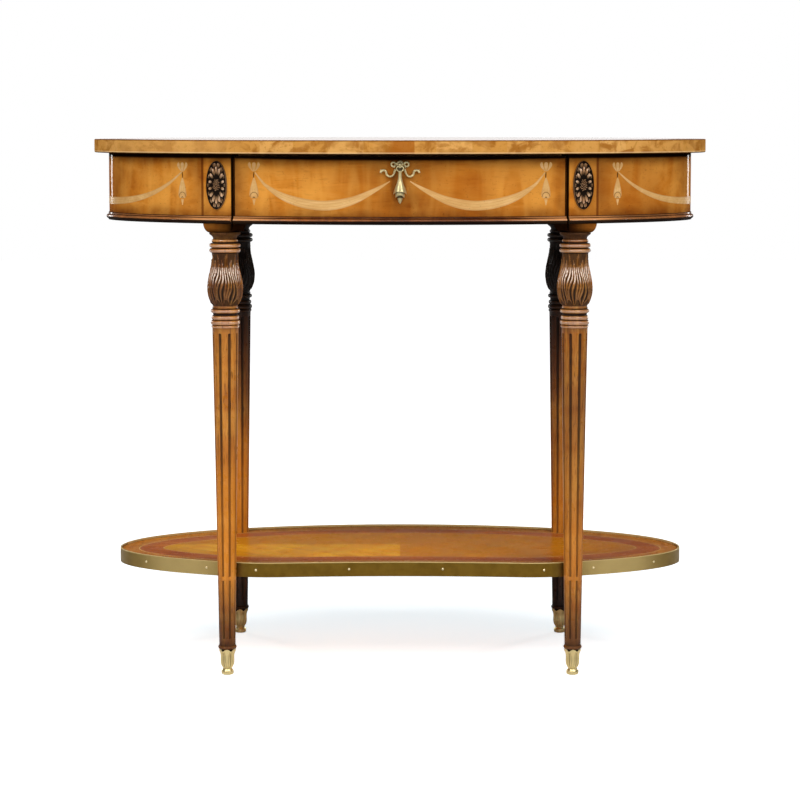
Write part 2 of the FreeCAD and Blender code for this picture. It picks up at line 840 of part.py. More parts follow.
def long_strip(name, side, x0, x1, foot, head):
    """Strip from the front rail to the back wall of the apron, on one side of the drawer."""
    low, high = (x0, x1) if side > 0 else (-measure(x1), -measure(x0))
    strip = box(f"{name}_strip", low, high, rail_back, far, foot, head)
    trimmed = common(f"{name}_trimmed", strip, apron_inside(f"{name}_inside", foot, measure(head) - foot))
    row = "right" if side > 0 else "left"
    return cut(f"{name}_fitted", trimmed, [block_solid(f"{name}_{leg}", leg, apron_foot)
                                           for leg in (f"front_{row}", f"rear_{row}")])


def carcase():
    keep("front_rail_lower", front_rail("front_rail_lower", apron_foot))
    keep("front_rail_upper", front_rail("front_rail_upper", kicker_foot))
    for side, row in ((-1, "left"), (1, "right")):
        edge = side_middle - size("runner_width") / 2
        runner = long_strip(f"runner_{row}", side, edge, guide_out, apron_foot, runner_head)
        keep(f"runner_{row}", runner)
        guide = long_strip(f"guide_{row}", side, guide_in, guide_out, runner_head, guide_head)
        keep(f"guide_{row}", guide)
        lip = side_middle - size("kicker_width") / 2
        kicker = long_strip(f"kicker_{row}", side, lip, lip + size("kicker_width"), kicker_foot, apron_top)
        keep(f"kicker_{row}", kicker)
    stops = []
    for side, row in ((-1, "left"), (1, "right")):
        middle = (drawer_half - size("stop_inset")) * side
        half = size("stop_width") / 2
        block = box(f"stop_{row}", middle - half, middle + half, drawer_back + size("drawer_stop_gap"), far,
                    runner_head, guide_head)
        inside = apron_inside(f"stop_{row}_inside", runner_head, size("guide_height"))
        stops.append(common(f"stop_{row}_fitted", block, inside))
    keep("drawer_stops", together("drawer_stops", stops))
    glue = []
    edge = apron_half_x - size("apron_wall") - size("glue_block_reach")
    glue_foot = apron_top - size("glue_block_side")
    for side_x in (-1, 1):
        for side_y in (-1, 1):
            name = f"glue_block_{len(glue)}"
            low, high = (edge, far) if side_x > 0 else (-far, -edge)
            near = size("glue_block_offset") * side_y - size("glue_block_length") / 2
            away = near + size("glue_block_length")
            block = box(name, low, high, near, away, glue_foot, apron_top)
            inside = apron_inside(f"{name}_inside", glue_foot, size("glue_block_side"))
            glue.append(common(f"{name}_fitted", block, inside))
    keep("glue_blocks", together("glue_blocks", glue))


def table_top():
    half_x = size("top_length") / 2
    half_y = size("top_depth") / 2
    board = oval("top_board", half_x, half_y, apron_top, size("top_thickness"))

    def rim(edge):
        return edge.Length > half_x.value

    keep("table_top", ease_edges("table_top", board, rim, size("top_edge_ease").value))


# Drawer with a bowed front, dovetailed sides and a loose bottom

drawer_foot = runner_head + size("drawer_lift")
drawer_head = kicker_foot - size("drawer_head_gap")
bottom_foot = drawer_foot + size("drawer_bottom_rise")
bottom_head = bottom_foot + size("drawer_bottom_thickness")
front_head = apron_top - size("drawer_gap")


def bow_at(x, inset):
    """Distance from the middle line to the apron's oval, moved in by inset, at this x."""
    half_x = apron_half_x - inset
    half_y = apron_half_y - inset
    share = measure(x) / half_x
    return half_y * root(1 - share * share)


side_front = -(bow_at(drawer_half, 0) - size("drawer_side_lap"))


def drawer_side(row, side):
    body = new_body(f"drawer_side_{row}_body")
    sketch = new_sketch(body, f"drawer_side_{row}_face", "YZ_Plane")
    back = drawer_back
    draw(sketch, [(side_front, drawer_foot), (back, drawer_foot), (back, drawer_head),
                  (side_front, drawer_head)])
    pad = body.newObject("PartDesign::Pad", f"drawer_side_{row}_board")
    pad.Profile = sketch
    bind(pad, Length=size("drawer_side_thickness"))
    doc.recompute()
    height = drawer_head - drawer_foot
    pin_sketch = new_sketch(body, f"drawer_side_{row}_pin", "YZ_Plane")
    middle = drawer_foot + height / 3
    wide = size("dovetail_width") / 2
    narrow = wide - size("dovetail_flare")
    root_line = side_front + size("dovetail_length")
    draw(pin_sketch, [(side_front, middle - narrow), (root_line, middle - wide),
                      (root_line, middle + wide), (side_front, middle + narrow)])
    notch = body.newObject("PartDesign::Pocket", f"drawer_side_{row}_notch")
    notch.Profile = pin_sketch
    notch.Type = "ThroughAll"
    notch.Midplane = True
    row_of_pins = body.newObject("PartDesign::LinearPattern", f"drawer_side_{row}_notches")
    row_of_pins.Originals = [notch]
    row_of_pins.Direction = (origin_part(body, "Z_Axis"), [""])
    bind(row_of_pins, Length=height / 3)
    row_of_pins.Occurrences = 2
    body.Tip = row_of_pins
    outer = drawer_half
    place(body, outer - size("drawer_side_thickness") if side > 0 else -outer, 0, 0)
    return body


def drawer():
    sides = [drawer_side("left", -1), drawer_side("right", 1)]
    inner = drawer_half - size("drawer_side_thickness")
    back_in = drawer_back - size("drawer_back_thickness")
    reach = inner + size("groove_depth")
    panel = box("bottom_blank", -reach, reach, -far, drawer_back, bottom_foot, bottom_head)
    bow_inset = size("drawer_front_thickness") - size("groove_depth")
    bowed = oval("bottom_bow", apron_half_x - bow_inset, apron_half_y - bow_inset, bottom_foot,
                 size("drawer_bottom_thickness"))
    bottom = keep("drawer_bottom", common("drawer_bottom", panel, bowed))
    for row, body in zip(("left", "right"), sides):
        keep(f"drawer_side_{row}", cut(f"drawer_side_{row}", body, [bottom]))
    keep("drawer_back", box("drawer_back", -inner, inner, back_in, drawer_back, bottom_head, drawer_head))
    ring = apron_ring("drawer_ring", apron_half_x, apron_half_y, size("drawer_front_thickness"), apron_foot,
                      front_head - apron_foot)
    half = common("drawer_half", ring, bay_zone("drawer_zone", "front", apron_foot, front_head))
    gap = size("drawer_gap")
    left = beyond("drawer_limit_left", "front_left", 1, gap, apron_foot, front_head)
    right = beyond("drawer_limit_right", "front_right", 1, gap, apron_foot, front_head)
    bay = cut("drawer_bay", cut("drawer_first", half, [left]), [right])
    socketed = cut("drawer_socketed", bay, sides)
    grooved = cut("drawer_grooved", socketed, [bottom])
    hole = pull_shank("pull_hole", size("pull_screw_clearance"))
    keep("drawer_front", cut("drawer_front", grooved, [hole]))


# Cast bow and its hanging drop

face_line = -apron_half_y
pull_line = face_line - size("pull_reach")


def pull_shank(name, clearance=0):
    """Screw from inside the drawer into the back of the cast bow."""
    start = face_line - size("pull_screw_bite")
    length = size("drawer_front_thickness") + size("pull_screw_bite")
    return cylinder(name, size("pull_screw_radius") + clearance, length, 0, start, pull_level, along_y())


def ribbon(name, radius, x, z, start=0, sweep=360):
    """Curl of flat ribbon lying on the drawer's face: a ring, or a length of one."""
    half = size("ribbon_width") / 2
    opening = FreeCAD.Rotation(FreeCAD.Vector(0, 0, 1), start)
    lean = FreeCAD.Rotation(FreeCAD.Vector(1, 0, 0), 90).multiply(opening)
    discs = []
    for part, reach in (("outer", radius + half), ("inner", radius - half)):
        disc = cylinder(f"{name}_{part}", reach, size("ribbon_depth"), x, face_line, z, lean)
        disc.Angle = sweep
        discs.append(disc)
    return cut(name, discs[0], discs[1:])


def pull_bow():
    """Cast ribbon bow: a knot over two loops, two waved ends and the boss that carries the drop."""
    base_line = face_line - size("bow_base_depth")
    base = cylinder("bow_base", size("bow_base_radius"), size("bow_base_depth"), 0, base_line, pull_level,
                    along_y())
    boss_length = size("pull_reach") + size("boss_tip")
    boss = cylinder("bow_boss", size("boss_radius"), boss_length, 0, face_line - boss_length, pull_level,
                    along_y())
    knot_line = face_line - size("bow_knot_depth")
    knot = cylinder("bow_knot", size("bow_knot_radius"), size("bow_knot_depth"), 0, knot_line,
                    pull_level + size("bow_knot_rise"), along_y())
    pieces = [base, boss, knot]
    tail_level = pull_level - size("ribbon_drop")
    for side, row in ((-1, "left"), (1, "right")):
        loop = ribbon(f"bow_loop_{row}", size("bow_loop_radius"), size("bow_loop_spread") * side,
                      pull_level + size("bow_loop_rise"))
        wave_x = (size("ribbon_start") + size("ribbon_wave")) * side
        wave = ribbon(f"bow_wave_{row}", size("ribbon_wave"), wave_x, tail_level, 180, 180)
        curl_x = (size("ribbon_start") + size("ribbon_wave") * 2 + size("ribbon_curl")) * side
        curl = ribbon(f"bow_curl_{row}", size("ribbon_curl"), curl_x, tail_level, 0, 180)
        tie_x = size("ribbon_start") * side
        half = size("ribbon_width") / 2
        tie = box(f"bow_tie_{row}", tie_x - half, tie_x + half, face_line - size("ribbon_depth"), face_line,
                  tail_level, pull_level + size("bow_loop_rise"))
        pieces += [loop, wave, curl, tie]
    casting = fuse("bow_casting", pieces)
    bore = cylinder("bow_bore", size("eye_wire_radius") + size("eye_clearance"), size("boss_radius") * 4,
                    -size("boss_radius") * 2, pull_line, pull_level, along_x())
    screw_hole = pull_shank("bow_screw_hole", size("pull_screw_clearance"))
    keep("pull_bow", cut("pull_bow", casting, [bore, screw_hole]))


def pull_screw():
    shank = pull_shank("pull_screw_shank")
    head = cylinder("pull_screw_head", size("pull_screw_head_radius"), size("pull_screw_head_height"), 0,
                    face_line + size("drawer_front_thickness"), pull_level, along_y())
    keep("pull_screw", fuse("pull_screw", [shank, head]))


def pull_drop():
    """Bell-shaped drop on a wire eye whose straight bar turns in the boss."""
    half = size("eye_half_width")
    wire = size("eye_wire_radius")
    cheek = wire * 2
    foot = pull_level - size("eye_leg")
    head = foot - cheek
    near = pull_line - wire
    away = pull_line + wire
    bar = cylinder("eye_bar", wire, half * 2, -half, pull_line, pull_level, along_x())
    pieces = [bar]
    for side, row in ((-1, "left"), (1, "right")):
        x0, x1 = (half, half + cheek) if side > 0 else (-half - cheek, -half)
        pieces.append(box(f"eye_cheek_{row}", x0, x1, near, away, head, pull_level + wire))
    pieces.append(box("eye_foot", -half, half, near, away, head, foot))
    body = new_body("drop_bell")
    waist = head - size("drop_neck_length")
    mouth = waist - size("drop_bell_length")
    band = mouth - size("drop_band_length")
    tip = band - size("drop_bud_length")
    stations = [
        (0, tip),
        (size("drop_band_radius"), band),
        (size("drop_band_radius"), mouth),
        (size("drop_bell_radius"), mouth),
        (size("drop_neck_radius"), waist),
        (size("drop_neck_radius"), head),
        (0, head),
    ]
    turned(body, "drop_bell_turning", stations)
    place(body, 0, pull_line, 0)
    keep("pull_drop", fuse("pull_drop", pieces + [body]))


for leg_name in LEGS:
    leg(leg_name)
keep("sabots", together("sabots", [sabot(leg_name) for leg_name in LEGS]))
front_legs = [leg_name for leg_name in LEGS if leg_name.startswith("front")]
keep("paterae", together("paterae", [patera(leg_name) for leg_name in front_legs]))
for row_name in ("left", "right"):
    apron_end(row_name)
apron_back()
beads()
carcase()
table_top()
shelf()
drawer()
pull_bow()
pull_screw()
pull_drop()
doc.recompute()

failed = [item.Label for item in doc.Objects if "Invalid" in item.State or "Error" in item.State]
if failed:
    raise RuntimeError(f"these did not build: {', '.join(failed)}")
for label, item in nodes.items():
    if item.Shape.isNull() or not item.Shape.isValid():
        raise RuntimeError(f"{label} has no valid shape")

os.makedirs("parts", exist_ok=True)
for label, item in nodes.items():
    item.Shape.exportStep(f"parts/{label}.step")
    box_of = item.Shape.BoundBox
    print(f"{label}: {len(item.Shape.Solids)} solid(s), {item.Shape.Volume / 1000:.2f} cm3,"
          f" x {box_of.XMin:.1f}..{box_of.XMax:.1f} y {box_of.YMin:.1f}..{box_of.YMax:.1f}"
          f" z {box_of.ZMin:.1f}..{box_of.ZMax:.1f}")
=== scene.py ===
import math

import bmesh
import bpy
from mathutils import Matrix, Vector


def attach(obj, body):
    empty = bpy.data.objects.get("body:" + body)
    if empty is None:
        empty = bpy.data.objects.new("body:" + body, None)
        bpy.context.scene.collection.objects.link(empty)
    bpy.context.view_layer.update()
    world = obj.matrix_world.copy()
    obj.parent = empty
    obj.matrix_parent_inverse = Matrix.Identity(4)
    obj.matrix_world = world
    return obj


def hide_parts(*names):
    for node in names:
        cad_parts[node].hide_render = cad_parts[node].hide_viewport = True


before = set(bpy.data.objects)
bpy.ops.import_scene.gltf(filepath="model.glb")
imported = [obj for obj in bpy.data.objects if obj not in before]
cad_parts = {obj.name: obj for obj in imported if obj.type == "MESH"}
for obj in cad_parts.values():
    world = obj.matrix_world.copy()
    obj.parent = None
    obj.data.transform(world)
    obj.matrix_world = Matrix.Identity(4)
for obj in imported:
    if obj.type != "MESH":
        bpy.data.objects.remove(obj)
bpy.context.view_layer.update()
print("frame loaded")

mm = 0.001  # shapes are drawn in millimetres and scaled once, when they are finished
upright = (0, 0, 1)

# oval of the apron and the places of the legs, as the frame has them
apron = {"halfX": 396.5, "halfY": 196.5, "foot": 604.0, "head": 693.0, "wall": 22.0,
         "drawerHead": 690.6, "drawerWall": 20.0}
legSpot = {"x": 230.223, "y": 134.449, "turn": 20.48}
legPlaces = {
    "front_left": (-legSpot["x"], -legSpot["y"], -legSpot["turn"]),
    "front_right": (legSpot["x"], -legSpot["y"], legSpot["turn"]),
    "rear_left": (-legSpot["x"], legSpot["y"], legSpot["turn"] - 180),
    "rear_right": (legSpot["x"], legSpot["y"], 180 - legSpot["turn"]),
}


# node helpers

def tone(red, green, blue):
    def straight(level):
        level = level / 255
        return level / 12.92 if level <= 0.04045 else ((level + 0.055) / 1.055) ** 2.4
    return (straight(red), straight(green), straight(blue), 1.0)


def fillInputs(tree, node, inputs):
    for key, value in inputs.items():
        if isinstance(value, bpy.types.NodeSocket):
            tree.links.new(value, node.inputs[key])
        else:
            node.inputs[key].default_value = value


def addNode(tree, kind, inputs=None, **settings):
    made = tree.nodes.new(kind)
    for key, value in settings.items():
        setattr(made, key, value)
    fillInputs(tree, made, inputs or {})
    return made


def calc(tree, operation, first, second=0.0):
    return addNode(tree, "ShaderNodeMath", {0: first, 1: second}, operation=operation).outputs[0]


def product(tree, first, *others):
    for other in others:
        first = calc(tree, "MULTIPLY", first, other)
    return first


def largest(tree, first, *others):
    for other in others:
        first = calc(tree, "MAXIMUM", first, other)
    return first


def offFrom(tree, value, middle):
    return calc(tree, "ABSOLUTE", calc(tree, "SUBTRACT", value, middle))


def spread(tree, value, low, high, toLow=0.0, toHigh=1.0):
    limits = {"Value": value, "From Min": low, "From Max": high, "To Min": toLow, "To Max": toHigh}
    return addNode(tree, "ShaderNodeMapRange", limits, interpolation_type="SMOOTHSTEP").outputs["Result"]


def reader(tree, runs):
    # reads a named run: where it starts and ends, and what it gives there
    def read(value, key):
        return spread(tree, value, *runs[key])
    return read


def blendTones(tree, share, under, over):
    return addNode(tree, "ShaderNodeMix", {0: share, 6: under, 7: over}, data_type="RGBA").outputs[2]


def toneRamp(tree, value, stops, colours):
    made = addNode(tree, "ShaderNodeValToRGB", {"Fac": value})
    bar = made.color_ramp
    while len(bar.elements) < len(stops):
        bar.elements.new(0.5)
    for element, place, colour in zip(bar.elements, stops, colours):
        element.position = place
        element.color = colour
    return made.outputs["Color"]


def placeOf(tree, turn=(0, 0, 0), scale=(1, 1, 1), matched=None):
    coords = addNode(tree, "ShaderNodeTexCoord").outputs["Object"]
    if matched is not None:  # quartered veneer is mirrored both ways at its middle
        x, y, z = axesOf(tree, coords)
        mirrored = {"X": calc(tree, "ABSOLUTE", x), "Y": offFrom(tree, y, matched), "Z": z}
        coords = addNode(tree, "ShaderNodeCombineXYZ", mirrored).outputs[0]
    turned = tuple(math.radians(angle) for angle in turn)
    placed = {"Vector": coords, "Rotation": turned, "Scale": scale}
    return addNode(tree, "ShaderNodeMapping", placed).outputs["Vector"]


def axesOf(tree, vector=None):
    place = placeOf(tree) if vector is None else vector
    parts = addNode(tree, "ShaderNodeSeparateXYZ", {0: place}).outputs
    return parts["X"], parts["Y"], parts["Z"]


def ovalReach(tree, values, middle, half):
    # 0 at the middle of an oval, 1 on its rim
    total = 0.0
    for value, centre, size in zip(values, middle, half):
        share = calc(tree, "DIVIDE", calc(tree, "SUBTRACT", value, centre), size)
        total = calc(tree, "ADD", total, product(tree, share, share))
    return total


def noise(tree, vector, scale, detail=4.0, rough=0.55, warp=0.0):
    settings = {"Vector": vector, "Scale": scale, "Detail": detail, "Roughness": rough, "Distortion": warp}
    return addNode(tree, "ShaderNodeTexNoise", settings).outputs["Fac"]


def stretched(tree, vector, amounts):
    return addNode(tree, "ShaderNodeVectorMath", {0: vector, 1: amounts}, operation="MULTIPLY").outputs[0]


def newGroup(name, inputs, outputs):
    # a socket is its label, its kind and, for an input, what it starts with
    group = bpy.data.node_groups.new(name, "ShaderNodeTree")
    for way, sockets in (("INPUT", inputs), ("OUTPUT", outputs)):
        for label, kind, *start in sockets:
            socket = group.interface.new_socket(name=label, in_out=way, socket_type="NodeSocket" + kind)
            if start:
                socket.default_value = start[0]
    return group, group.nodes.new("NodeGroupInput").outputs, group.nodes.new("NodeGroupOutput").inputs


def placeGroup(tree, group, inputs):
    return addNode(tree, "ShaderNodeGroup", inputs, node_tree=group).outputs


# grain of sawn wood: long fibres, short dark pores and a cross ripple of the figure
woodGrain, given, result = newGroup(
    "woodGrain",
    [("Vector", "Vector"), ("Fibre Scale", "Float", 9.0), ("Stretch", "Float", 14.0),
     ("Ripple Scale", "Float", 30.0)],
    [("Fibre", "Float"), ("Pore", "Float"), ("Ripple", "Float"), ("Cloud", "Float")])
grainSizes = {"poresPerFibre": 7.0, "pore": (0.56, 0.72), "rippleLong": (1.0, 0.22, 0.22), "cloud": 7.0}
tree = woodGrain
squeeze = addNode(tree, "ShaderNodeCombineXYZ",
                  {"X": 1.0, "Y": given["Stretch"], "Z": given["Stretch"]}).outputs[0]
along = stretched(tree, given["Vector"], squeeze)
poreScale = product(tree, given["Fibre Scale"], grainSizes["poresPerFibre"])
poreField = noise(tree, along, poreScale, detail=3.0, rough=0.5)
rippled = stretched(tree, given["Vector"], grainSizes["rippleLong"])
tree.links.new(noise(tree, along, given["Fibre Scale"], detail=8.0, rough=0.62, warp=0.6), result["Fibre"])
tree.links.new(spread(tree, poreField, *grainSizes["pore"]), result["Pore"])
tree.links.new(noise(tree, rippled, given["Ripple Scale"], detail=2.5, rough=0.45, warp=0.8), result["Ripple"])
tree.links.new(noise(tree, given["Vector"], grainSizes["cloud"], detail=3.0, rough=0.5), result["Cloud"])

# polish and age: dirt with painted shade in hollows, rubbed patches and small specks
oldPolish, given, result = newGroup(
    "oldPolish",
    [("Vector", "Vector"), ("Colour", "Color"), ("Dirt", "Float", 0.0), ("Dirt Colour", "Color"),
     ("Rough Low", "Float", 0.2), ("Rough High", "Float", 0.4)],
    [("Colour", "Color"), ("Roughness", "Float")])
polishSizes = {"patch": 38.0, "wearAndHighlight": (0.35, 0.7), "speck": 420.0, "specks": (0.66, 0.74, 0.0, 0.3),
               "dullDirt": 0.5}
tree = oldPolish
patches = noise(tree, given["Vector"], polishSizes["patch"], detail=5.0, rough=0.6)
wearAndHighlight = spread(tree, patches, *polishSizes["wearAndHighlight"])
dots = noise(tree, given["Vector"], polishSizes["speck"], detail=2.0, rough=0.5)
specks = spread(tree, dots, *polishSizes["specks"])
dirt = largest(tree, given["Dirt"], 0.0)
gloss = {"Value": wearAndHighlight, "To Min": given["Rough Low"], "To Max": given["Rough High"]}
shine = addNode(tree, "ShaderNodeMapRange", gloss).outputs["Result"]
soiled = blendTones(tree, largest(tree, dirt, specks), given["Colour"], given["Dirt Colour"])
tree.links.new(soiled, result["Colour"])
tree.links.new(calc(tree, "ADD", shine, product(tree, dirt, polishSizes["dullDirt"])), result["Roughness"])

# brass that has gone brown in patches
tarnish, given, result = newGroup(
    "tarnish",
    [("Vector", "Vector"), ("Bright", "Color"), ("Dull", "Color"), ("Amount", "Float", 0.5),
     ("Dirt", "Float", 0.0)],
    [("Colour", "Color"), ("Roughness", "Float"), ("Height", "Float")])
brassSizes = {"bloom": 60.0, "blooms": (0.3, 0.75), "fine": 900.0, "fineRough": (0.3, 0.7, 0.2, 0.3),
              "dullRough": 0.25, "relief": (0.12, 0.0002)}
tree = tarnish
bloom = noise(tree, given["Vector"], brassSizes["bloom"], detail=6.0, rough=0.6)
fine = noise(tree, given["Vector"], brassSizes["fine"], detail=3.0, rough=0.6)
darkened = largest(tree, product(tree, spread(tree, bloom, *brassSizes["blooms"]), given["Amount"]), given["Dirt"])
dulled = product(tree, darkened, brassSizes["dullRough"])
tree.links.new(blendTones(tree, darkened, given["Bright"], given["Dull"]), result["Colour"])
tree.links.new(calc(tree, "ADD", dulled, spread(tree, fine, *brassSizes["fineRough"])), result["Roughness"])
tree.links.new(fine, result["Height"])
print("node groups made")


# finishes

def newFinish(name):
    finish = bpy.data.materials.new(name)
    finish.use_nodes = True
    finish.node_tree.nodes.clear()
    tree = finish.node_tree
    shader = addNode(tree, "ShaderNodeBsdfPrincipled")
    addNode(tree, "ShaderNodeOutputMaterial", {"Surface": shader.outputs[0]})
    return finish, tree, shader


def tonesOf(look):
    return {key: tone(*colour) for key, colour in look["tones"].items()}


def reliefOf(tree, height, strength, depth):
    bump = addNode(tree, "ShaderNodeBump", {"Height": height, "Strength": strength, "Distance": depth})
    return bump.outputs["Normal"]


# dirt and painted shade in hollows and under things; below zero, a painted highlight
def dirtOf(tree):
    return addNode(tree, "ShaderNodeAttribute", attribute_name="dirtAndShading").outputs["Fac"]


def grainOf(tree, place, look):
    return placeGroup(tree, woodGrain, {"Vector": place, "Fibre Scale": look["fibre"], "Stretch": look["stretch"],
                                        "Ripple Scale": look["ripple"]})


# where each tone of a wood lies along its fibres, how ripple, cloud, dirt with painted shade and painted
# highlights come in, and the relief of the fibres
woodRuns = {"stops": (0.25, 0.5, 0.78), "ripple": (0.3, 0.7), "cloud": (0.3, 0.75), "highlightRun": (0.0, -1.0),
            "coat": (0.05, 0.6, 1.0, 0.0), "relief": (0.08, 0.0004)}


def agedSurface(tree, shader, body, grime, look, fibre):
    low, high = look["gloss"]
    aged = placeGroup(tree, oldPolish, {"Vector": placeOf(tree), "Colour": body, "Dirt": dirtOf(tree),
                                        "Dirt Colour": grime, "Rough Low": low, "Rough High": high})
    relief = reliefOf(tree, fibre, *look.get("relief", woodRuns["relief"]))
    fillInputs(tree, shader, {"Base Color": aged["Colour"], "Roughness": aged["Roughness"],
                              "Specular IOR Level": look["shine"], "Normal": relief})


def woodFinish(name, look):
    finish, tree, shader = newFinish(name)
    hue = tonesOf(look)
    grain = grainOf(tree, placeOf(tree, look.get("turn", (0, 0, 0)), matched=look.get("matched")), look)
    body = toneRamp(tree, grain["Fibre"], woodRuns["stops"], (hue["dark"], hue["middle"], hue["light"]))
    figure = spread(tree, grain["Ripple"], *woodRuns["ripple"], 0.0, look["figure"])
    cloud = spread(tree, grain["Cloud"], *woodRuns["cloud"], 0.0, look["cloud"])
    body = blendTones(tree, figure, body, hue["light"])
    body = blendTones(tree, cloud, body, hue["dark"])
    body = blendTones(tree, product(tree, grain["Pore"], look["pore"]), body, hue["deep"])
    if "shade" in look:
        for share, depth in look["shade"](tree):
            body = blendTones(tree, share, body, hue[depth])
    # painted highlight where the shading is below zero
    if "wearAndHighlight" in hue:
        body = blendTones(tree, spread(tree, dirtOf(tree), *woodRuns["highlightRun"]), body, hue["wearAndHighlight"])
    agedSurface(tree, shader, body, hue["grime"], look, grain["Fibre"])
    coat = product(tree, spread(tree, dirtOf(tree), *woodRuns["coat"]), look["coat"])
    if "sheen" in look:
        coat = product(tree, coat, look["sheen"](tree))
    fillInputs(tree, shader, {"Coat Weight": coat, "Coat Roughness": look.get("coatRough", 0.12),
                              "Coat IOR": look.get("lacquer", 1.5)})
    return finish


# the apron and drawer darken towards the foot; painted shade darkens them towards the top, under its overhang, and
# a painted shadow makes the black line under the top and in the drawer's gaps
apronStain = {
    "patch": 26.0, "patches": (0.25, 0.75, 0.45, 1.25), "head": (0.672, 0.69, 0.0, 0.6),
    "foot": (0.632, 0.611, 0.0, 0.7), "middle": (0.1, 0.0, 0.0, 0.4), "ends": (0.355, 0.385, 0.0, 0.4),
    "drawerEnd": (0.19, 0.216, 0.0, 0.62), "drawerStop": 0.218,
    "panelEnd": (0.284, 0.258, 0.0, 0.5), "panelStart": 0.257,
    "seamAt": 0.258, "seam": (0.0024, 0.0008, 0.0, 0.75),
    "jointRise": (0.08, 0.24, 0.0, 0.002), "joint": (0.6838, 0.6868, 0.0, 0.99),
    "gapAt": 0.2172, "gap": (0.0032, 0.0022, 0.0, 0.97), "gapFront": (-0.156, -0.16),
    "pullAt": (-0.002, 0.652), "pullHalf": (0.0118, 0.027), "handled": (1.0, 0.3, 0.0, 0.6),
    "polished": (0.378, 0.389),
}


def apronShade(tree):
    run = reader(tree, apronStain)
    x, y, z = axesOf(tree)
    across = calc(tree, "ABSOLUTE", x)
    onDrawer = calc(tree, "LESS_THAN", across, apronStain["drawerStop"])
    onPanel = calc(tree, "GREATER_THAN", across, apronStain["panelStart"])
    # painted shade towards the top; darker too towards the foot, the middle, the ends, and the ends of drawer and
    # panels
    darkened = largest(tree, run(z, "head"), run(z, "foot"), run(across, "middle"), run(across, "ends"),
                      product(tree, run(across, "drawerEnd"), onDrawer),
                      product(tree, run(across, "panelEnd"), onPanel))
    patchy = run(noise(tree, placeOf(tree), apronStain["patch"]), "patches")
    # painted shadow that the pull casts round itself on the drawer front
    pullReach = ovalReach(tree, (x, z), apronStain["pullAt"], apronStain["pullHalf"])
    handled = product(tree, run(pullReach, "handled"), calc(tree, "LESS_THAN", y, 0.0))
    seam = run(offFrom(tree, across, apronStain["seamAt"]), "seam")
    # painted shadow: black under the top's overhang and in the drawer's gaps
    joint = run(calc(tree, "SUBTRACT", z, run(across, "jointRise")), "joint")
    gap = product(tree, run(offFrom(tree, across, apronStain["gapAt"]), "gap"), run(y, "gapFront"))
    return [(product(tree, darkened, patchy), "deep"), (handled, "deep"), (seam, "deep"),
            (largest(tree, joint, gap), "grime")]


# only the round ends are polished enough to catch a line of light
def endSheen(tree):
    return reader(tree, apronStain)(calc(tree, "ABSOLUTE", axesOf(tree)[0]), "polished")


# painted highlight: the bead is paler beside and on the leg blocks
beadHighlight = {"inner": (0.13, 0.21, 0.0, 0.8), "outer": (0.3, 0.26, 0.35, 1.0)}


def beadShade(tree):
    run = reader(tree, beadHighlight)
    across = calc(tree, "ABSOLUTE", axesOf(tree)[0])
    return [(product(tree, run(across, "inner"), run(across, "outer")), "fresh")]


# legs are darkest round the carving and at the ankle, and paler on the lower shafts; painted shade darkens the
# right leg, and the rear pair, standing in the shade, is painted black at head and foot on its front side
legStain = {
    "bulbFoot": (0.49, 0.496, 0.0, 0.4), "bulbHead": (0.566, 0.56), "rearFront": (0.0, 0.06),
    "rearBack": (0.156, 0.138), "rearShaft": (0.25, 0.44, 0.0, 0.9), "rearHead": (0.4, 0.5, 0.0, 0.97),
    "rearFoot": (0.138, 0.126, 0.0, 0.85),
    "right": (-0.1, 0.1, 0.0, 0.34), "rightFoot": (0.18, 0.26), "ankle": (0.15, 0.04, 0.0, 0.8),
    "freshHead": (0.33, 0.25, 0.0, 0.5), "freshFoot": (0.08, 0.16), "freshRight": (-0.1, 0.1, 1.0, 0.5),
    "polishedHead": (0.455, 0.468, 0.08, 1.0), "polishedRear": (0.0, 1.0, 1.0, 0.04),
}


def rearSide(tree, y):
    run = reader(tree, legStain)
    return product(tree, run(y, "rearFront"), run(y, "rearBack"))


def legShade(tree):
    run = reader(tree, legStain)
    x, y, z = axesOf(tree)
    behind = rearSide(tree, y)
    fresh = product(tree, run(z, "freshHead"), run(z, "freshFoot"), run(x, "freshRight"))
    dark = largest(tree, product(tree, run(z, "bulbFoot"), run(z, "bulbHead")),
                   product(tree, behind, run(z, "rearShaft")), run(z, "ankle"),
                   product(tree, run(x, "right"), run(z, "rightFoot")))
    black = product(tree, behind, largest(tree, run(z, "rearHead"), run(z, "rearFoot")))
    return [(fresh, "fresh"), (dark, "deep"), (black, "grime")]


# only the turned and carved head of a front leg is highly polished
def legSheen(tree):
    run = reader(tree, legStain)
    x, y, z = axesOf(tree)
    return product(tree, run(z, "polishedHead"), run(rearSide(tree, y), "polishedRear"))


# the shelf's quarters take the light differently, and its long sides and right end are darker
shelfStain = {"middle": 0.028, "rear": (-0.004, 0.004, 0.0, 0.6), "right": (-0.001, 0.001, 0.0, 0.68),
              "dim": (0.0, 0.3, 0.0, 0.3), "oval": (0.34, 0.125), "rim": (0.6, 1.1, 0.0, 0.45),
              "longSides": (0.08, 0.14, 0.0, 0.6)}


def fieldShade(tree):
    run = reader(tree, shelfStain)
    x, y, z = axesOf(tree)
    middle = shelfStain["middle"]
    quarters = largest(tree, run(calc(tree, "SUBTRACT", y, middle), "rear"), run(x, "right"))
    reach = ovalReach(tree, (x, y), (0.0, middle), shelfStain["oval"])
    return [(quarters, "dark"), (run(x, "dim"), "deep"), (run(reach, "rim"), "deep")]


def bandShade(tree):
    run = reader(tree, shelfStain)
    x, y, z = axesOf(tree)
    return [(run(offFrom(tree, y, shelfStain["middle"]), "longSides"), "deep"), (run(x, "dim"), "deep")]
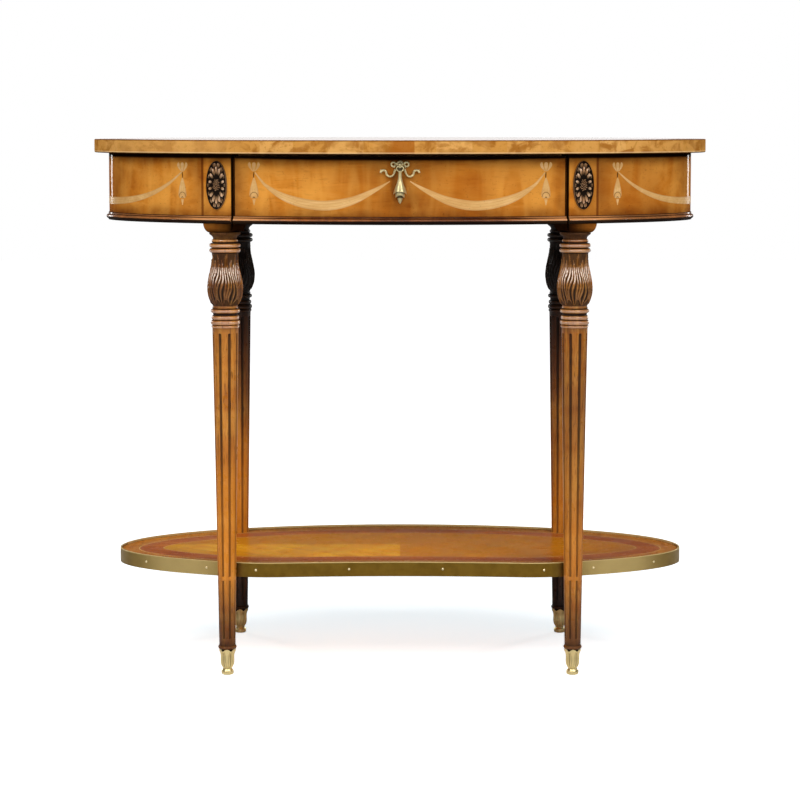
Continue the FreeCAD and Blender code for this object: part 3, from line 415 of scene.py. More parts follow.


# the grime tone is dirt, and also the black of painted shadow
apronLook = {
    "tones": {"dark": (150, 80, 20), "middle": (196, 120, 38), "light": (218, 152, 66), "deep": (92, 40, 12),
              "grime": (12, 5, 3)},
    "fibre": 5.0, "stretch": 10.0, "ripple": 46.0, "figure": 0.8, "cloud": 0.7, "pore": 0.16,
    "gloss": (0.3, 0.46), "shine": 0.0, "coat": 0.2, "coatRough": 0.05, "shade": apronShade, "sheen": endSheen}
beadLook = {
    "tones": {"dark": (58, 24, 8), "middle": (94, 44, 14), "light": (176, 104, 44), "deep": (70, 30, 12),
              "grime": (10, 4, 2), "fresh": (206, 142, 86)},
    "fibre": 8.0, "stretch": 10.0, "ripple": 46.0, "figure": 0.4, "cloud": 0.8, "pore": 0.3,
    "gloss": (0.2, 0.3), "shine": 0.06, "coat": 0.4, "lacquer": 1.6, "shade": beadShade}
legLook = {
    "tones": {"dark": (116, 56, 14), "middle": (182, 108, 32), "light": (228, 164, 74), "deep": (56, 24, 8),
              "grime": (12, 5, 2), "fresh": (228, 140, 34), "wearAndHighlight": (232, 212, 194)},
    "fibre": 9.0, "stretch": 12.0, "ripple": 24.0, "figure": 0.35, "cloud": 0.55, "pore": 0.75,
    "gloss": (0.26, 0.4), "shine": 0.2, "coat": 0.7, "lacquer": 1.75, "turn": (0, 90, 0), "shade": legShade,
    "sheen": legSheen}
carvedLook = {
    "tones": {"dark": (140, 88, 50), "middle": (204, 150, 100), "light": (250, 220, 180), "deep": (40, 18, 8),
              "grime": (7, 3, 2)},
    "fibre": 14.0, "stretch": 6.0, "ripple": 40.0, "figure": 0.3, "cloud": 0.3, "pore": 0.3,
    "gloss": (0.16, 0.28), "shine": 0.04, "coat": 0.9, "lacquer": 1.9, "turn": (0, 90, 0)}
innerLook = {
    "tones": {"dark": (150, 108, 62), "middle": (178, 136, 84), "light": (200, 162, 108), "deep": (104, 66, 34),
              "grime": (70, 42, 22)},
    "fibre": 7.0, "stretch": 12.0, "ripple": 18.0, "figure": 0.25, "cloud": 0.35, "pore": 0.4,
    "gloss": (0.5, 0.68), "shine": 0.2, "coat": 0.0, "turn": (0, 0, 90)}

# veneers of the top and shelf
flatPolish = {"gloss": (0.2, 0.34), "shine": 0.03, "coat": 0.0}
waxed = {"coat": 0.9, "coatRough": 0.05}  # the top takes the white of the studio at a low angle
fieldLook = {
    **flatPolish,
    "tones": {"dark": (188, 108, 14), "middle": (236, 156, 24), "light": (244, 190, 64), "deep": (128, 62, 14),
              "grime": (60, 26, 9)},
    "fibre": 5.0, "stretch": 12.0, "ripple": 34.0, "figure": 0.45, "cloud": 0.3, "pore": 0.5, "turn": (0, 0, 40),
    "matched": 0.0}
topTones = {"dark": (172, 98, 26), "middle": (212, 140, 54), "light": (230, 170, 86)}
crossLook = {
    **flatPolish,
    "tones": {"dark": (160, 84, 22), "middle": (202, 122, 38), "light": (226, 154, 62), "deep": (110, 54, 18),
              "grime": (50, 22, 9)},
    "fibre": 8.0, "stretch": 10.0, "ripple": 60.0, "figure": 0.4, "cloud": 0.4, "pore": 0.35, "turn": (0, 0, 90)}
redLook = {
    **flatPolish,
    "tones": {"dark": (150, 66, 24), "middle": (194, 102, 38), "light": (212, 128, 58), "deep": (96, 38, 16),
              "grime": (40, 16, 8)},
    "fibre": 8.0, "stretch": 10.0, "ripple": 30.0, "figure": 0.25, "cloud": 0.45, "pore": 0.45, "shade": bandShade}
stringLook = {
    **flatPolish,
    "tones": {"dark": (216, 156, 80), "middle": (240, 188, 106), "light": (250, 212, 140), "deep": (150, 96, 44),
              "grime": (90, 52, 26)},
    "fibre": 20.0, "stretch": 6.0, "ripple": 60.0, "figure": 0.3, "cloud": 0.2, "pore": 0.2}
apronVeneer = woodFinish("apronVeneer", apronLook)
beadWood = woodFinish("beadWood", beadLook)
legWood = woodFinish("legWood", legLook)
carvedWood = woodFinish("carvedWood", carvedLook)
innerWood = woodFinish("innerWood", innerLook)
topField = woodFinish("topField", {**fieldLook, **waxed, "tones": {**fieldLook["tones"], **topTones}})
topCross = woodFinish("topCross", {**crossLook, **waxed})
topString = woodFinish("topString", {**stringLook, **waxed})
shelfField = woodFinish("shelfField", {**fieldLook, "matched": shelfStain["middle"], "shade": fieldShade})
shelfCross = woodFinish("shelfCross", {**crossLook, "shade": bandShade})
shelfRed = woodFinish("shelfRed", redLook)
shelfString = woodFinish("shelfString", {**stringLook, "shade": bandShade})


# edge of the top: short lengths of crossbanding, blotchy, one of them more orange than the rest
edgeLook = {
    "tones": {"dark": (150, 92, 30), "low": (190, 134, 62), "middle": (194, 138, 66), "light": (208, 156, 86),
              "grime": (46, 22, 9), "orange": (158, 90, 26), "worn": (246, 216, 164), "brown": (96, 50, 18)},
    "half": (0.416, 0.216), "lengths": 56, "stops": (0.1, 0.5, 0.9), "fibre": 16.0, "stretch": 2.0, "ripple": 50.0,
    "gloss": (0.22, 0.36), "shine": 0.0, "blotch": 44.0, "blotchFlat": (1, 1, 1.4), "speck": 240.0,
}
edgeRuns = {
    "blotches": (0.42, 0.6, 0.0, 0.9), "specks": (0.6, 0.7, 0.0, 0.5), "fibres": (0.4, 0.7, 0.0, 0.4),
    "leftFrom": (-0.18, -0.26, 0.0, 0.4), "leftTo": (-0.4, -0.37),
    "orange": (-0.0178, -0.006, 0.0, 0.85), "orangeStop": 0.0185,
    "wornAt": 0.695, "worn": (0.001, 0.0003, 0.0, 0.45), "brown": (0.7094, 0.7102, 0.0, 0.7),
}


def edgeFinish(name, look):
    finish, tree, shader = newFinish(name)
    hue, run = tonesOf(look), reader(tree, edgeRuns)
    x, y, z = axesOf(tree)
    halfX, halfY = look["half"]
    bearing = calc(tree, "ARCTAN2", calc(tree, "DIVIDE", y, halfY), calc(tree, "DIVIDE", x, halfX))
    lengths = calc(tree, "FLOOR", product(tree, bearing, look["lengths"] / math.tau))
    board = addNode(tree, "ShaderNodeTexWhiteNoise", {"W": lengths}, noise_dimensions="1D").outputs["Value"]
    grain = grainOf(tree, placeOf(tree, (0, 90, 0)), look)
    blotch = noise(tree, placeOf(tree, scale=look["blotchFlat"]), look["blotch"], warp=0.6)
    specks = noise(tree, placeOf(tree), look["speck"], detail=2.0)
    # painted light: the left part of the edge is paler
    left = product(tree, run(x, "leftFrom"), run(x, "leftTo"))
    orange = product(tree, run(x, "orange"), calc(tree, "LESS_THAN", x, edgeRuns["orangeStop"]),
                     calc(tree, "LESS_THAN", y, 0.0))
    body = toneRamp(tree, board, look["stops"], (hue["low"], hue["middle"], hue["light"]))
    # the last two are the arrises: a painted highlight below, dark above
    for share, colour in ((run(blotch, "blotches"), "dark"), (run(specks, "specks"), "dark"),
                          (run(grain["Fibre"], "fibres"), "light"), (left, "light"), (orange, "orange"),
                          (run(offFrom(tree, z, edgeRuns["wornAt"]), "worn"), "worn"), (run(z, "brown"), "brown")):
        body = blendTones(tree, share, body, hue[colour])
    agedSurface(tree, shader, body, hue["grime"], look, grain["Fibre"])
    return finish


edgeVeneer = edgeFinish("edgeVeneer", edgeLook)


# inlay: pale wood, sand-shaded at its edges, with a fine engraved line on each side
inlayLook = {
    "tones": {"dark": (190, 144, 84), "middle": (207, 164, 104), "light": (225, 188, 136),
              "shaded": (168, 106, 44), "grime": (48, 22, 9)},
    "stops": (0.3, 0.55, 0.8), "fibre": 14.0, "stretch": 5.0, "ripple": 70.0, "gloss": (0.24, 0.38), "shine": 0.03,
    "relief": (0.06, 0.0003), "lineAt": 0.3, "line": (0.07, 0.02, 0.0, 0.34), "rim": (0.55, 1.0, 0.0, 0.42),
}


def inlayFinish(name, look):
    finish, tree, shader = newFinish(name)
    hue, run = tonesOf(look), reader(tree, look)
    grain = grainOf(tree, placeOf(tree), look)
    side = addNode(tree, "ShaderNodeAttribute", attribute_name="across").outputs["Fac"]
    shaded = largest(tree, run(side, "rim"), run(offFrom(tree, side, look["lineAt"]), "line"))
    body = toneRamp(tree, grain["Fibre"], look["stops"], (hue["dark"], hue["middle"], hue["light"]))
    body = blendTones(tree, shaded, body, hue["shaded"])
    agedSurface(tree, shader, body, hue["grime"], look, grain["Fibre"])
    return finish


paleInlay = inlayFinish("paleInlay", inlayLook)


# painted light on the gallery band: a highlight along its rim and on its inner lip, and pale where it turns to the
# light
bandLight = {"rim": (0.1481, 0.149), "lip": (0.1466, 0.1472), "lipBehind": 0.028, "turnIn": (0.2, 0.28, 0.0, 0.85),
            "turnOut": (0.37, 0.31, 0.25, 1.0), "metal": (0.0, 1.0, 1.0, 0.3)}


def bandLit(tree, colour, highlightTone):
    run = reader(tree, bandLight)
    x, y, z = axesOf(tree)
    across = calc(tree, "ABSOLUTE", x)
    lip = product(tree, run(z, "lip"), calc(tree, "GREATER_THAN", y, bandLight["lipBehind"]))
    worn = largest(tree, run(z, "rim"), lip)
    pale = largest(tree, worn, product(tree, run(across, "turnIn"), run(across, "turnOut")))
    return blendTones(tree, pale, colour, highlightTone), run(worn, "metal")


def brassFinish(name, look):
    finish, tree, shader = newFinish(name)
    hue = tonesOf(look)
    old = placeGroup(tree, tarnish, {"Vector": placeOf(tree), "Bright": hue["bright"], "Dull": hue["dull"],
                                     "Amount": look["amount"], "Dirt": dirtOf(tree)})
    colour, metal = old["Colour"], look.get("metal", 1.0)
    if "worn" in hue:
        colour, metal = bandLit(tree, colour, hue["worn"])
    fillInputs(tree, shader, {"Base Color": colour, "Metallic": metal,
                              "Roughness": calc(tree, "ADD", old["Roughness"], look["rough"]),
                              "Normal": reliefOf(tree, old["Height"], *brassSizes["relief"])})
    return finish


bandLook = {"tones": {"bright": (124, 96, 36), "dull": (88, 64, 16), "worn": (206, 180, 118)}, "amount": 0.5,
            "rough": 0.12}
castLook = {"tones": {"bright": (214, 198, 148), "dull": (54, 38, 14)}, "amount": 0.24, "rough": 0.16,
            "metal": 0.8}
footLook = {"tones": {"bright": (228, 210, 152), "dull": (110, 82, 32)}, "amount": 0.2, "rough": 0.06}
pinLook = {"tones": {"bright": (250, 236, 190), "dull": (190, 160, 100)}, "amount": 0.3, "rough": 0.0}
bandBrass = brassFinish("bandBrass", bandLook)
castBrass = brassFinish("castBrass", castLook)
footBrass = brassFinish("footBrass", footLook)
pinBrass = brassFinish("pinBrass", pinLook)
print("finishes made")


# shape helpers

def newShape():
    bm = bmesh.new()
    # each point carries dirt and painted shade; below zero, a painted highlight
    return bm, bm.verts.layers.float.new("dirtAndShading")


def newObject(name, data):
    made = bpy.data.objects.new(name, data)
    bpy.context.scene.collection.objects.link(made)
    return made


def meshOf(bm, name):
    mesh = bpy.data.meshes.new(name)
    bm.to_mesh(mesh)
    bm.free()
    return mesh


def finishPiece(name, bm, finishes, body, nodes=(), sharp=38):
    bmesh.ops.scale(bm, vec=(mm, mm, mm), verts=bm.verts)
    mesh = meshOf(bm, name)
    for finish in finishes:
        mesh.materials.append(finish)
    mesh.shade_smooth()
    mesh.set_sharp_from_angle(angle=math.radians(sharp))
    piece = newObject(name, mesh)
    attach(piece, body)
    if nodes:
        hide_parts(*nodes)
    return piece


def only(geom, kind):
    return [item for item in geom if isinstance(item, kind)]


def freshVerts(bm, before):
    return [vert for vert in bm.verts if vert not in before]


def closeUp(bm):
    bmesh.ops.remove_doubles(bm, verts=bm.verts, dist=0.002)
    bmesh.ops.recalc_face_normals(bm, faces=bm.faces)


arrisTurn = 1.0  # radians between two faces, from which their edge is an arris
levelGap = 0.05  # an edge that rises less than this is level


def isArris(edge):
    return edge.calc_face_angle(0) > arrisTurn


def isLevel(edge):
    return abs(edge.verts[0].co.z - edge.verts[1].co.z) <= levelGap


def easeEdges(bm, edges, offset, segments=2):
    bmesh.ops.bevel(bm, geom=list(edges), offset=offset, offset_type="OFFSET", segments=segments, profile=0.5,
                    affect="EDGES", material=-1)


def drawOut(bm, faces, way):
    # extrudes faces by way; gives the moved points and faces
    geom = bmesh.ops.extrude_face_region(bm, geom=faces)["geom"]
    moved = only(geom, bmesh.types.BMVert)
    bmesh.ops.translate(bm, vec=way, verts=moved)
    return moved, only(geom, bmesh.types.BMFace)


def insetFace(bm, face, wide):
    return bmesh.ops.inset_region(bm, faces=[face], thickness=wide, use_even_offset=True)["faces"]


def ramp(value, low, high):
    return min(1.0, max(0.0, (value - low) / (high - low)))


def hump(value, middle, wide):
    return math.exp(-((value - middle) / wide) ** 2)


def halfRound(top, foot, flank, nose, count):
    middle, half = (top + foot) / 2, (top - foot) / 2
    turns = [math.pi * i / count for i in range(count + 1)]
    return [(flank + (nose - flank) * math.sin(turn), middle + half * math.cos(turn)) for turn in turns]


def hollow(topPoint, footPoint, depth, count):
    (r0, z0), (r1, z1) = topPoint, footPoint
    shares = [i / count for i in range(1, count)]
    return [(r0 + (r1 - r0) * share - depth * math.sin(math.pi * share), z0 + (z1 - z0) * share)
            for share in shares]


def throughPoints(points, count):
    # smooth line through a few stations
    line = []
    padded = [points[0]] + list(points) + [points[-1]]
    for a, b, c, d in zip(padded, padded[1:], padded[2:], padded[3:]):
        for i in range(count):
            t = i / count
            line.append(tuple(0.5 * (2 * q + (r - p) * t + (2 * p - 5 * q + 4 * r - s) * t * t
                                     + (3 * q - p - 3 * r + s) * t ** 3) for p, q, r, s in zip(a, b, c, d)))
    return line + [points[-1]]


def spinProfile(bm, profile, steps, centre=(0, 0), dirt=()):
    # profile runs down as (radius, height); the ends are closed where the radius is 0
    dirtAndShading = bm.verts.layers.float["dirtAndShading"]
    x, y = centre
    chain = [bm.verts.new((x + radius, y, height)) for radius, height in profile]
    for vert, amount in zip(chain, dirt):
        vert[dirtAndShading] = amount
    edges = [bm.edges.new(pair) for pair in zip(chain, chain[1:])]
    bmesh.ops.spin(bm, geom=chain + edges, cent=(x, y, 0), axis=upright, angle=math.tau, steps=steps,
                   use_merge=True)


def sectionRing(bm, profile, lay):
    # profile is (out of the face, height, dirt with painted shade)
    dirtAndShading = bm.verts.layers.float["dirtAndShading"]
    ring = [bm.verts.new(lay(out, height)) for out, height, dirt in profile]
    for vert, (out, height, dirt) in zip(ring, profile):
        vert[dirtAndShading] = dirt
    return ring


def ovalSpot(bearing):
    spot = Vector((apron["halfX"] * math.cos(bearing), apron["halfY"] * math.sin(bearing), 0))
    normal = Vector((math.cos(bearing) / apron["halfX"], math.sin(bearing) / apron["halfY"], 0)).normalized()
    return spot, normal


def bearingAt(x, side):
    return side * math.acos(x / apron["halfX"])


def ovalSweep(bm, profile, start, end, steps):
    # the section is spun round a post, then bent to the oval
    post = 1000.0
    ring = sectionRing(bm, profile, lambda out, height: (post + out, 0, height))
    edges = [bm.edges.new(pair) for pair in zip(ring, ring[1:] + ring[:1])]
    bmesh.ops.rotate(bm, cent=(0, 0, 0), matrix=Matrix.Rotation(start, 3, "Z"), verts=ring)
    spun = bmesh.ops.spin(bm, geom=ring + edges, cent=(0, 0, 0), axis=upright, angle=end - start, steps=steps)
    bmesh.ops.contextual_create(bm, geom=edges)
    bmesh.ops.contextual_create(bm, geom=only(spun["geom_last"], bmesh.types.BMEdge))
    for vert in bm.verts:
        spot, normal = ovalSpot(math.atan2(vert.co.y, vert.co.x))
        out = math.hypot(vert.co.x, vert.co.y) - post
        vert.co.x = spot.x + normal.x * out
        vert.co.y = spot.y + normal.y * out


def legFrame(leg):
    x, y, turn = legPlaces[leg]
    return Matrix.Translation((x, y, 0)) @ Matrix.Rotation(math.radians(turn), 4, "Z")


# legs: block, moulded capital, rings, carved bulb, fluted shaft and ankle ring

legSizes = {
    "steps": 180, "core": 8.0, "blockWidth": 41.0, "blockDepth": 48.0, "blockEase": 0.7, "capitalFoot": 590.4,
    "capitalIn": 6.5, "capitalSteps": 8,
    # the turned line, downwards: points are (radius, height), rings are (top, foot, flank, nose, steps)
    "neck": [(20.5, 590.4), (20.5, 588.0)], "cove": ((20.0, 587.4), (15.6, 581.4), 1.5, 6),
    "upperRings": [(15.6, 581.2), (581.0, 576.4, 15.8, 17.4, 6), (576.0, 570.0, 17.0, 20.7, 8),
                   (569.4, 563.4, 17.0, 20.7, 8)],
    "bulbHead": 563.0, "bulbFoot": 493.5, "bulbSteps": 8, "headMargin": 0.2, "footMargin": 0.3,
    "bulb": [(17.4, 563.0), (16.9, 556.0), (17.2, 549.0), (19.2, 539.0), (21.6, 528.0), (22.6, 516.5),
             (21.4, 506.0), (18.6, 498.0), (16.4, 493.5)],
    "lowerRings": [(16.4, 492.6), (492.4, 489.6, 16.2, 17.2, 4), (489.4, 484.0, 16.6, 19.4, 8), (16.2, 483.4),
                   (16.0, 481.2), (480.6, 475.2, 16.6, 18.3, 8), (474.6, 468.4, 17.0, 19.3, 8),
                   (468.0, 464.4, 17.2, 18.5, 6)],
    "shaftHead": 464.0, "shaftFoot": 40.0, "headRadius": 17.2, "footRadius": 10.8,
    "firstLevel": 440.0, "levelStep": 20.0, "levels": 19,
    "ankle": [(39.6, 35.0, 10.8, 12.3, 6), (7.4, 34.8), (7.4, 19.0), (0.0, 19.0)],
    "flutes": 8, "fluteTurn": 22.5, "fluteHalf": 7.5, "fluteDepth": 0.105,
    "fluteRuns": [(458.0, 133.0), (128.5, 49.0)],
    "fluteEnds": [0.0, 0.15, 0.4, 0.8, 1.3, 1.9, 2.6],
}
# dirt with painted shade in the hollows, flutes and cove and under the capital, and painted shade on its inner
# side; a crest below zero is a painted highlight
legDirtAndShade = {
    "above": 462.0, "below": 44.0, "near": 5, "free": 0.8, "gain": 0.7, "most": 0.95, "crestFree": 0.3,
    "crest": -0.25, "coveFoot": 581.0, "coveHead": 590.5, "cove": 0.8, "flute": 0.6, "fluteMore": 0.22,
    "fluteRise": (240.0, 320.0), "fluteGain": 1.7, "capital": 0.95, "capitalTop": 0.05, "innerReach": 1.5,
    "under": 0.8, "underHigh": 6.0, "underRun": 7.0,
}
# rows of leaves: offset in the pitch, foot, tip, how proud
leafSizes = {
    "count": 9, "turn": -8.0, "depth": 1.05, "sway": 4.5, "swayRise": 9.0, "swayTurn": 3.0, "ground": -0.5,
    "groundShade": 0.8, "ringDirt": 0.5, "rows": [(0.5, 0.12, 1.0, 0.0), (0.0, 0.02, 0.88, 0.35)], "wide": 0.9,
    "round": 0.16, "taper": 0.6, "rimAt": 0.8, "rimWide": 0.17, "ribWide": 0.13, "crest": 1.4, "bed": 0.7,
    "dirt": 0.98, "crestLight": 0.8, "crestLightBelly": 1.2, "belly": (0.34, 0.74), "footEnd": 0.05, "headEnd": 0.1,
    "highlightAt": 0.6, "highlightHalf": 0.2, "highlightPower": 1.5, "highlightGain": 2.6, "highlightDarkeningLimit": 0.6, "highlightTurn": 80.0,
}


def turnedLine(stations):
    line = []
    for station in stations:
        line += [station] if len(station) == 2 else halfRound(*station)
    return line


def legProfile(sizes):
    line = sizes["neck"] + hollow(*sizes["cove"]) + turnedLine(sizes["upperRings"])
    line += throughPoints(sizes["bulb"], sizes["bulbSteps"]) + turnedLine(sizes["lowerRings"])
    levels = {sizes["shaftHead"], sizes["shaftFoot"]}
    levels.update(sizes["firstLevel"] - sizes["levelStep"] * i for i in range(sizes["levels"]))
    for top, foot in sizes["fluteRuns"]:
        levels.update(top - end for end in sizes["fluteEnds"])
        levels.update(foot + end for end in sizes["fluteEnds"])
    for level in sorted(levels, reverse=True):
        share = (sizes["shaftHead"] - level) / (sizes["shaftHead"] - sizes["shaftFoot"])
        line.append((sizes["headRadius"] + (sizes["footRadius"] - sizes["headRadius"]) * share, level))
    return line + turnedLine(sizes["ankle"])


def turnedDirtAndShade(profile, isFront, sizes, dirt):
    # dirt with painted shade between the rings and in the cove; painted highlights on the crests of the front legs
    darkenings = []
    for i, (radius, height) in enumerate(profile):
        around = profile[max(0, i - dirt["near"]):i + dirt["near"] + 1]
        sunk = max(r for r, z in around if abs(z - height) < dirt["near"]) - radius
        darkening = 0.0
        if height > dirt["above"] or height < dirt["below"]:
            darkening = min(dirt["most"], max(0.0, (sunk - dirt["free"]) * dirt["gain"]))
        onBulb = sizes["bulbFoot"] <= height <= sizes["bulbHead"]
        if isFront and height > dirt["above"] and not onBulb and sunk <= dirt["crestFree"]:
            darkening = dirt["crest"]
        darkenings.append(dirt["cove"] if dirt["coveFoot"] < height < dirt["coveHead"] else darkening)
    return darkenings


def leafCarving(turn, share, sizes):
    # two rows of tongue leaves: each has a raised rim and midrib, and is round at the foot
    lift, dirt = sizes["ground"], sizes["groundShade"]
    pitch = 360.0 / sizes["count"]
    turn += sizes["sway"] * math.sin(sizes["swayRise"] * share + sizes["swayTurn"] * math.radians(turn))
    inBelly = sizes["belly"][0] < share < sizes["belly"][1]
    for offset, foot, tip, proud in sizes["rows"]:
        side = (((turn - sizes["turn"]) / pitch + offset + 0.5) % 1.0 - 0.5) * 2
        rise = (share - foot) / (tip - foot)
        if not 0.0 < rise < 1.0:
            continue
        past = max(0.0, rise - sizes["round"]) / (1.0 - sizes["round"])
        half = sizes["wide"] * min(1.0, math.sqrt(rise / sizes["round"])) * (1.0 - past) ** sizes["taper"]
        if abs(side) >= half:
            continue
        crest = max(hump(abs(side) / half, sizes["rimAt"], sizes["rimWide"]), hump(side, 0.0, sizes["ribWide"]))
        lift = proud + sizes["crest"] * crest - sizes["bed"]
        # the grooves carry dirt with painted shade, the crests less
        dirt = max(0.0, sizes["dirt"] - sizes["crestLightBelly" if inBelly else "crestLight"] * crest)
    return lift, dirt


def carveBulb(vert, dirtAndShading, turn, isFront, sizes):
    outward = Vector((vert.co.x, vert.co.y, 0)).normalized()
    share = (vert.co.z - legSizes["bulbFoot"]) / (legSizes["bulbHead"] - legSizes["bulbFoot"])
    lift, darkening = leafCarving(turn, share, sizes)
    ends = min(1.0, share / sizes["footEnd"], (1.0 - share) / sizes["headEnd"])
    vert.co += outward * (lift * sizes["depth"] * ends)
    vert[dirtAndShading] = max(vert[dirtAndShading] * sizes["ringDirt"], darkening)
    # painted highlight: crests of the upper belly are pale at the front
    belly = max(0.0, 1.0 - ((share - sizes["highlightAt"]) / sizes["highlightHalf"]) ** 2) ** sizes["highlightPower"]
    if isFront and darkening < sizes["highlightDarkeningLimit"] and belly > 0.0 and abs(turn) < sizes["highlightTurn"]:
        crestLight = belly * (sizes["highlightDarkeningLimit"] - darkening) * math.cos(math.radians(turn))
        vert[dirtAndShading] = -min(1.0, sizes["highlightGain"] * crestLight)


def cutFlute(vert, dirtAndShading, turn, sizes, dirt):
    z = vert.co.z
    outward = Vector((vert.co.x, vert.co.y, 0))
    radius = outward.length
    pitch = 360.0 / sizes["flutes"]
    aside = (turn - sizes["fluteTurn"] + pitch / 2) % pitch - pitch / 2
    half = radius * math.radians(sizes["fluteHalf"])
    for top, foot in sizes["fluteRuns"]:
        past = max(0.0, half - (top - z), half - (z - foot)) / half
        room = 1.0 - (aside / sizes["fluteHalf"]) ** 2 - past ** 2
        if foot <= z <= top and room > 0.0:
            depth = math.sqrt(room)
            vert.co -= outward * (depth * sizes["fluteDepth"])
            darkening = dirt["flute"] + dirt["fluteMore"] * ramp(z, *dirt["fluteRise"])
            vert[dirtAndShading] = min(1.0, dirt["fluteGain"] * depth) * darkening


def makeBlock(bm, sizes):
    # squared head of the leg; its foot is drawn in to a quarter round, step by step
    before = set(bm.verts)
    head, foot = apron["head"], apron["foot"]
    cube = bmesh.ops.create_cube(bm, size=1.0)["verts"]
    bmesh.ops.scale(bm, vec=(sizes["blockWidth"], sizes["blockDepth"], head - foot), verts=cube)
    bmesh.ops.translate(bm, vec=(0, 0, (head + foot) / 2), verts=cube)
    under = min({face for vert in cube for face in vert.link_faces}, key=lambda face: face.calc_center_median().z)
    wide, deep = sizes["blockWidth"] / 2, sizes["blockDepth"] / 2
    drawnIn, dropped = 0.0, 0.0
    for i in range(1, sizes["capitalSteps"] + 1):
        turn = math.pi / 2 * i / sizes["capitalSteps"]
        inward = sizes["capitalIn"] * (1 - math.cos(turn))
        drop = (foot - sizes["capitalFoot"]) * math.sin(turn)
        under = bmesh.ops.extrude_discrete_faces(bm, faces=[under])["faces"][0]
        bmesh.ops.scale(bm, vec=((wide - inward) / (wide - drawnIn), (deep - inward) / (deep - drawnIn), 1),
                        verts=under.verts)
        bmesh.ops.translate(bm, vec=(0, 0, dropped - drop), verts=under.verts)
        drawnIn, dropped = inward, drop
    corners = {edge for vert in freshVerts(bm, before) for edge in vert.link_edges
               if not isLevel(edge) and isArris(edge)}
    easeEdges(bm, corners, sizes["blockEase"])
    return freshVerts(bm, before)


def blockShade(block, dirtAndShading, leg, sizes, dirt):
    # painted shade: the capital is dark underneath, on its inner side, and all over on the rear legs
    x, y, turn = legPlaces[leg]
    inner = math.copysign(1.0, -x) if y < 0 else math.copysign(1.0, x)
    for vert in block:
        low = (apron["foot"] - vert.co.z) / (apron["foot"] - sizes["capitalFoot"])
        edge = sizes["blockWidth"] / 2 - sizes["capitalIn"] * max(0.0, low) ** 2 - dirt["innerReach"]
        under = (sizes["capitalFoot"] + dirt["underHigh"] - vert.co.z) / dirt["underRun"]
        shaded = low > dirt["capitalTop"] and (y > 0 or vert.co.x * inner > edge)
        vert[dirtAndShading] = dirt["capital"] if shaded else max(0.0, min(dirt["under"], under))


def makeLeg(leg, sizes):
    bm, dirtAndShading = newShape()
    x, y, turn = legPlaces[leg]
    isFront = y < 0
    profile = legProfile(sizes)
    spinProfile(bm, profile, sizes["steps"], dirt=turnedDirtAndShade(profile, isFront, sizes, legDirtAndShade))
    closeUp(bm)
    carvedFrom, carvedTo = sizes["bulbFoot"] + sizes["footMargin"], sizes["bulbHead"] - sizes["headMargin"]
    for vert in bm.verts:
        if math.hypot(vert.co.x, vert.co.y) < sizes["core"]:
            continue
        bearing = math.degrees(math.atan2(vert.co.x, -vert.co.y))
        if carvedFrom < vert.co.z < carvedTo:
            carveBulb(vert, dirtAndShading, bearing, isFront, leafSizes)
        else:
            cutFlute(vert, dirtAndShading, bearing, sizes, legDirtAndShade)
    bmesh.ops.translate(bm, vec=(x, y, 0), verts=bm.verts)
    block = makeBlock(bm, sizes)
    blockShade(block, dirtAndShading, leg, sizes, legDirtAndShade)
    bmesh.ops.transform(bm, matrix=legFrame(leg), verts=block)
    for face in {face for vert in block for face in vert.link_faces}:
        face.material_index = 1
    bmesh.ops.recalc_face_normals(bm, faces=bm.faces)
    return finishPiece("leg_" + leg + "_turned", bm, [legWood, apronVeneer], "table", ["leg_" + leg])


for leg in legPlaces:
    makeLeg(leg, legSizes)
print("legs turned, fluted and carved")


# cast brass feet

footSizes = {
    "steps": 96, "leaves": 6, "waist": 8.0, "core": 5.0, "rim": 35.0, "scallop": 3.4, "scallopFrom": 26.0,
    "scallopCurve": 1.6, "relief": 0.75,
    "base": [(0.0, 0.0), (6.6, 0.0), (7.7, 0.6), (8.1, 2.0), (8.1, 4.2), (7.7, 5.7), (6.6, 6.6)],
    "cup": [(6.0, 8.0), (6.3, 9.2), (7.6, 11.0), (8.7, 13.6), (9.2, 17.0), (9.25, 20.0), (9.1, 23.0), (9.2, 26.0),
            (9.7, 29.0), (10.4, 32.0), (11.2, 35.0)],
    "lip": [(10.4, 35.0), (9.4, 31.0), (7.6, 30.0)],
    # leaf: width and lift of the midrib, the seams and the veins
    "rib": (0.12, 0.7), "seam": (0.14, 1.1), "vein": (0.1, 0.5), "veinFoot": 0.25, "veinSpread": 0.45,
    "fadeFoot": 0.15, "fadeTop": 1.02, "fadeHead": 0.2,
    "seamDirt": 0.9, "veinDirt": 0.6, "neckHigh": 9.4, "neckDirt": 0.3, "mostDirt": 0.9,
}


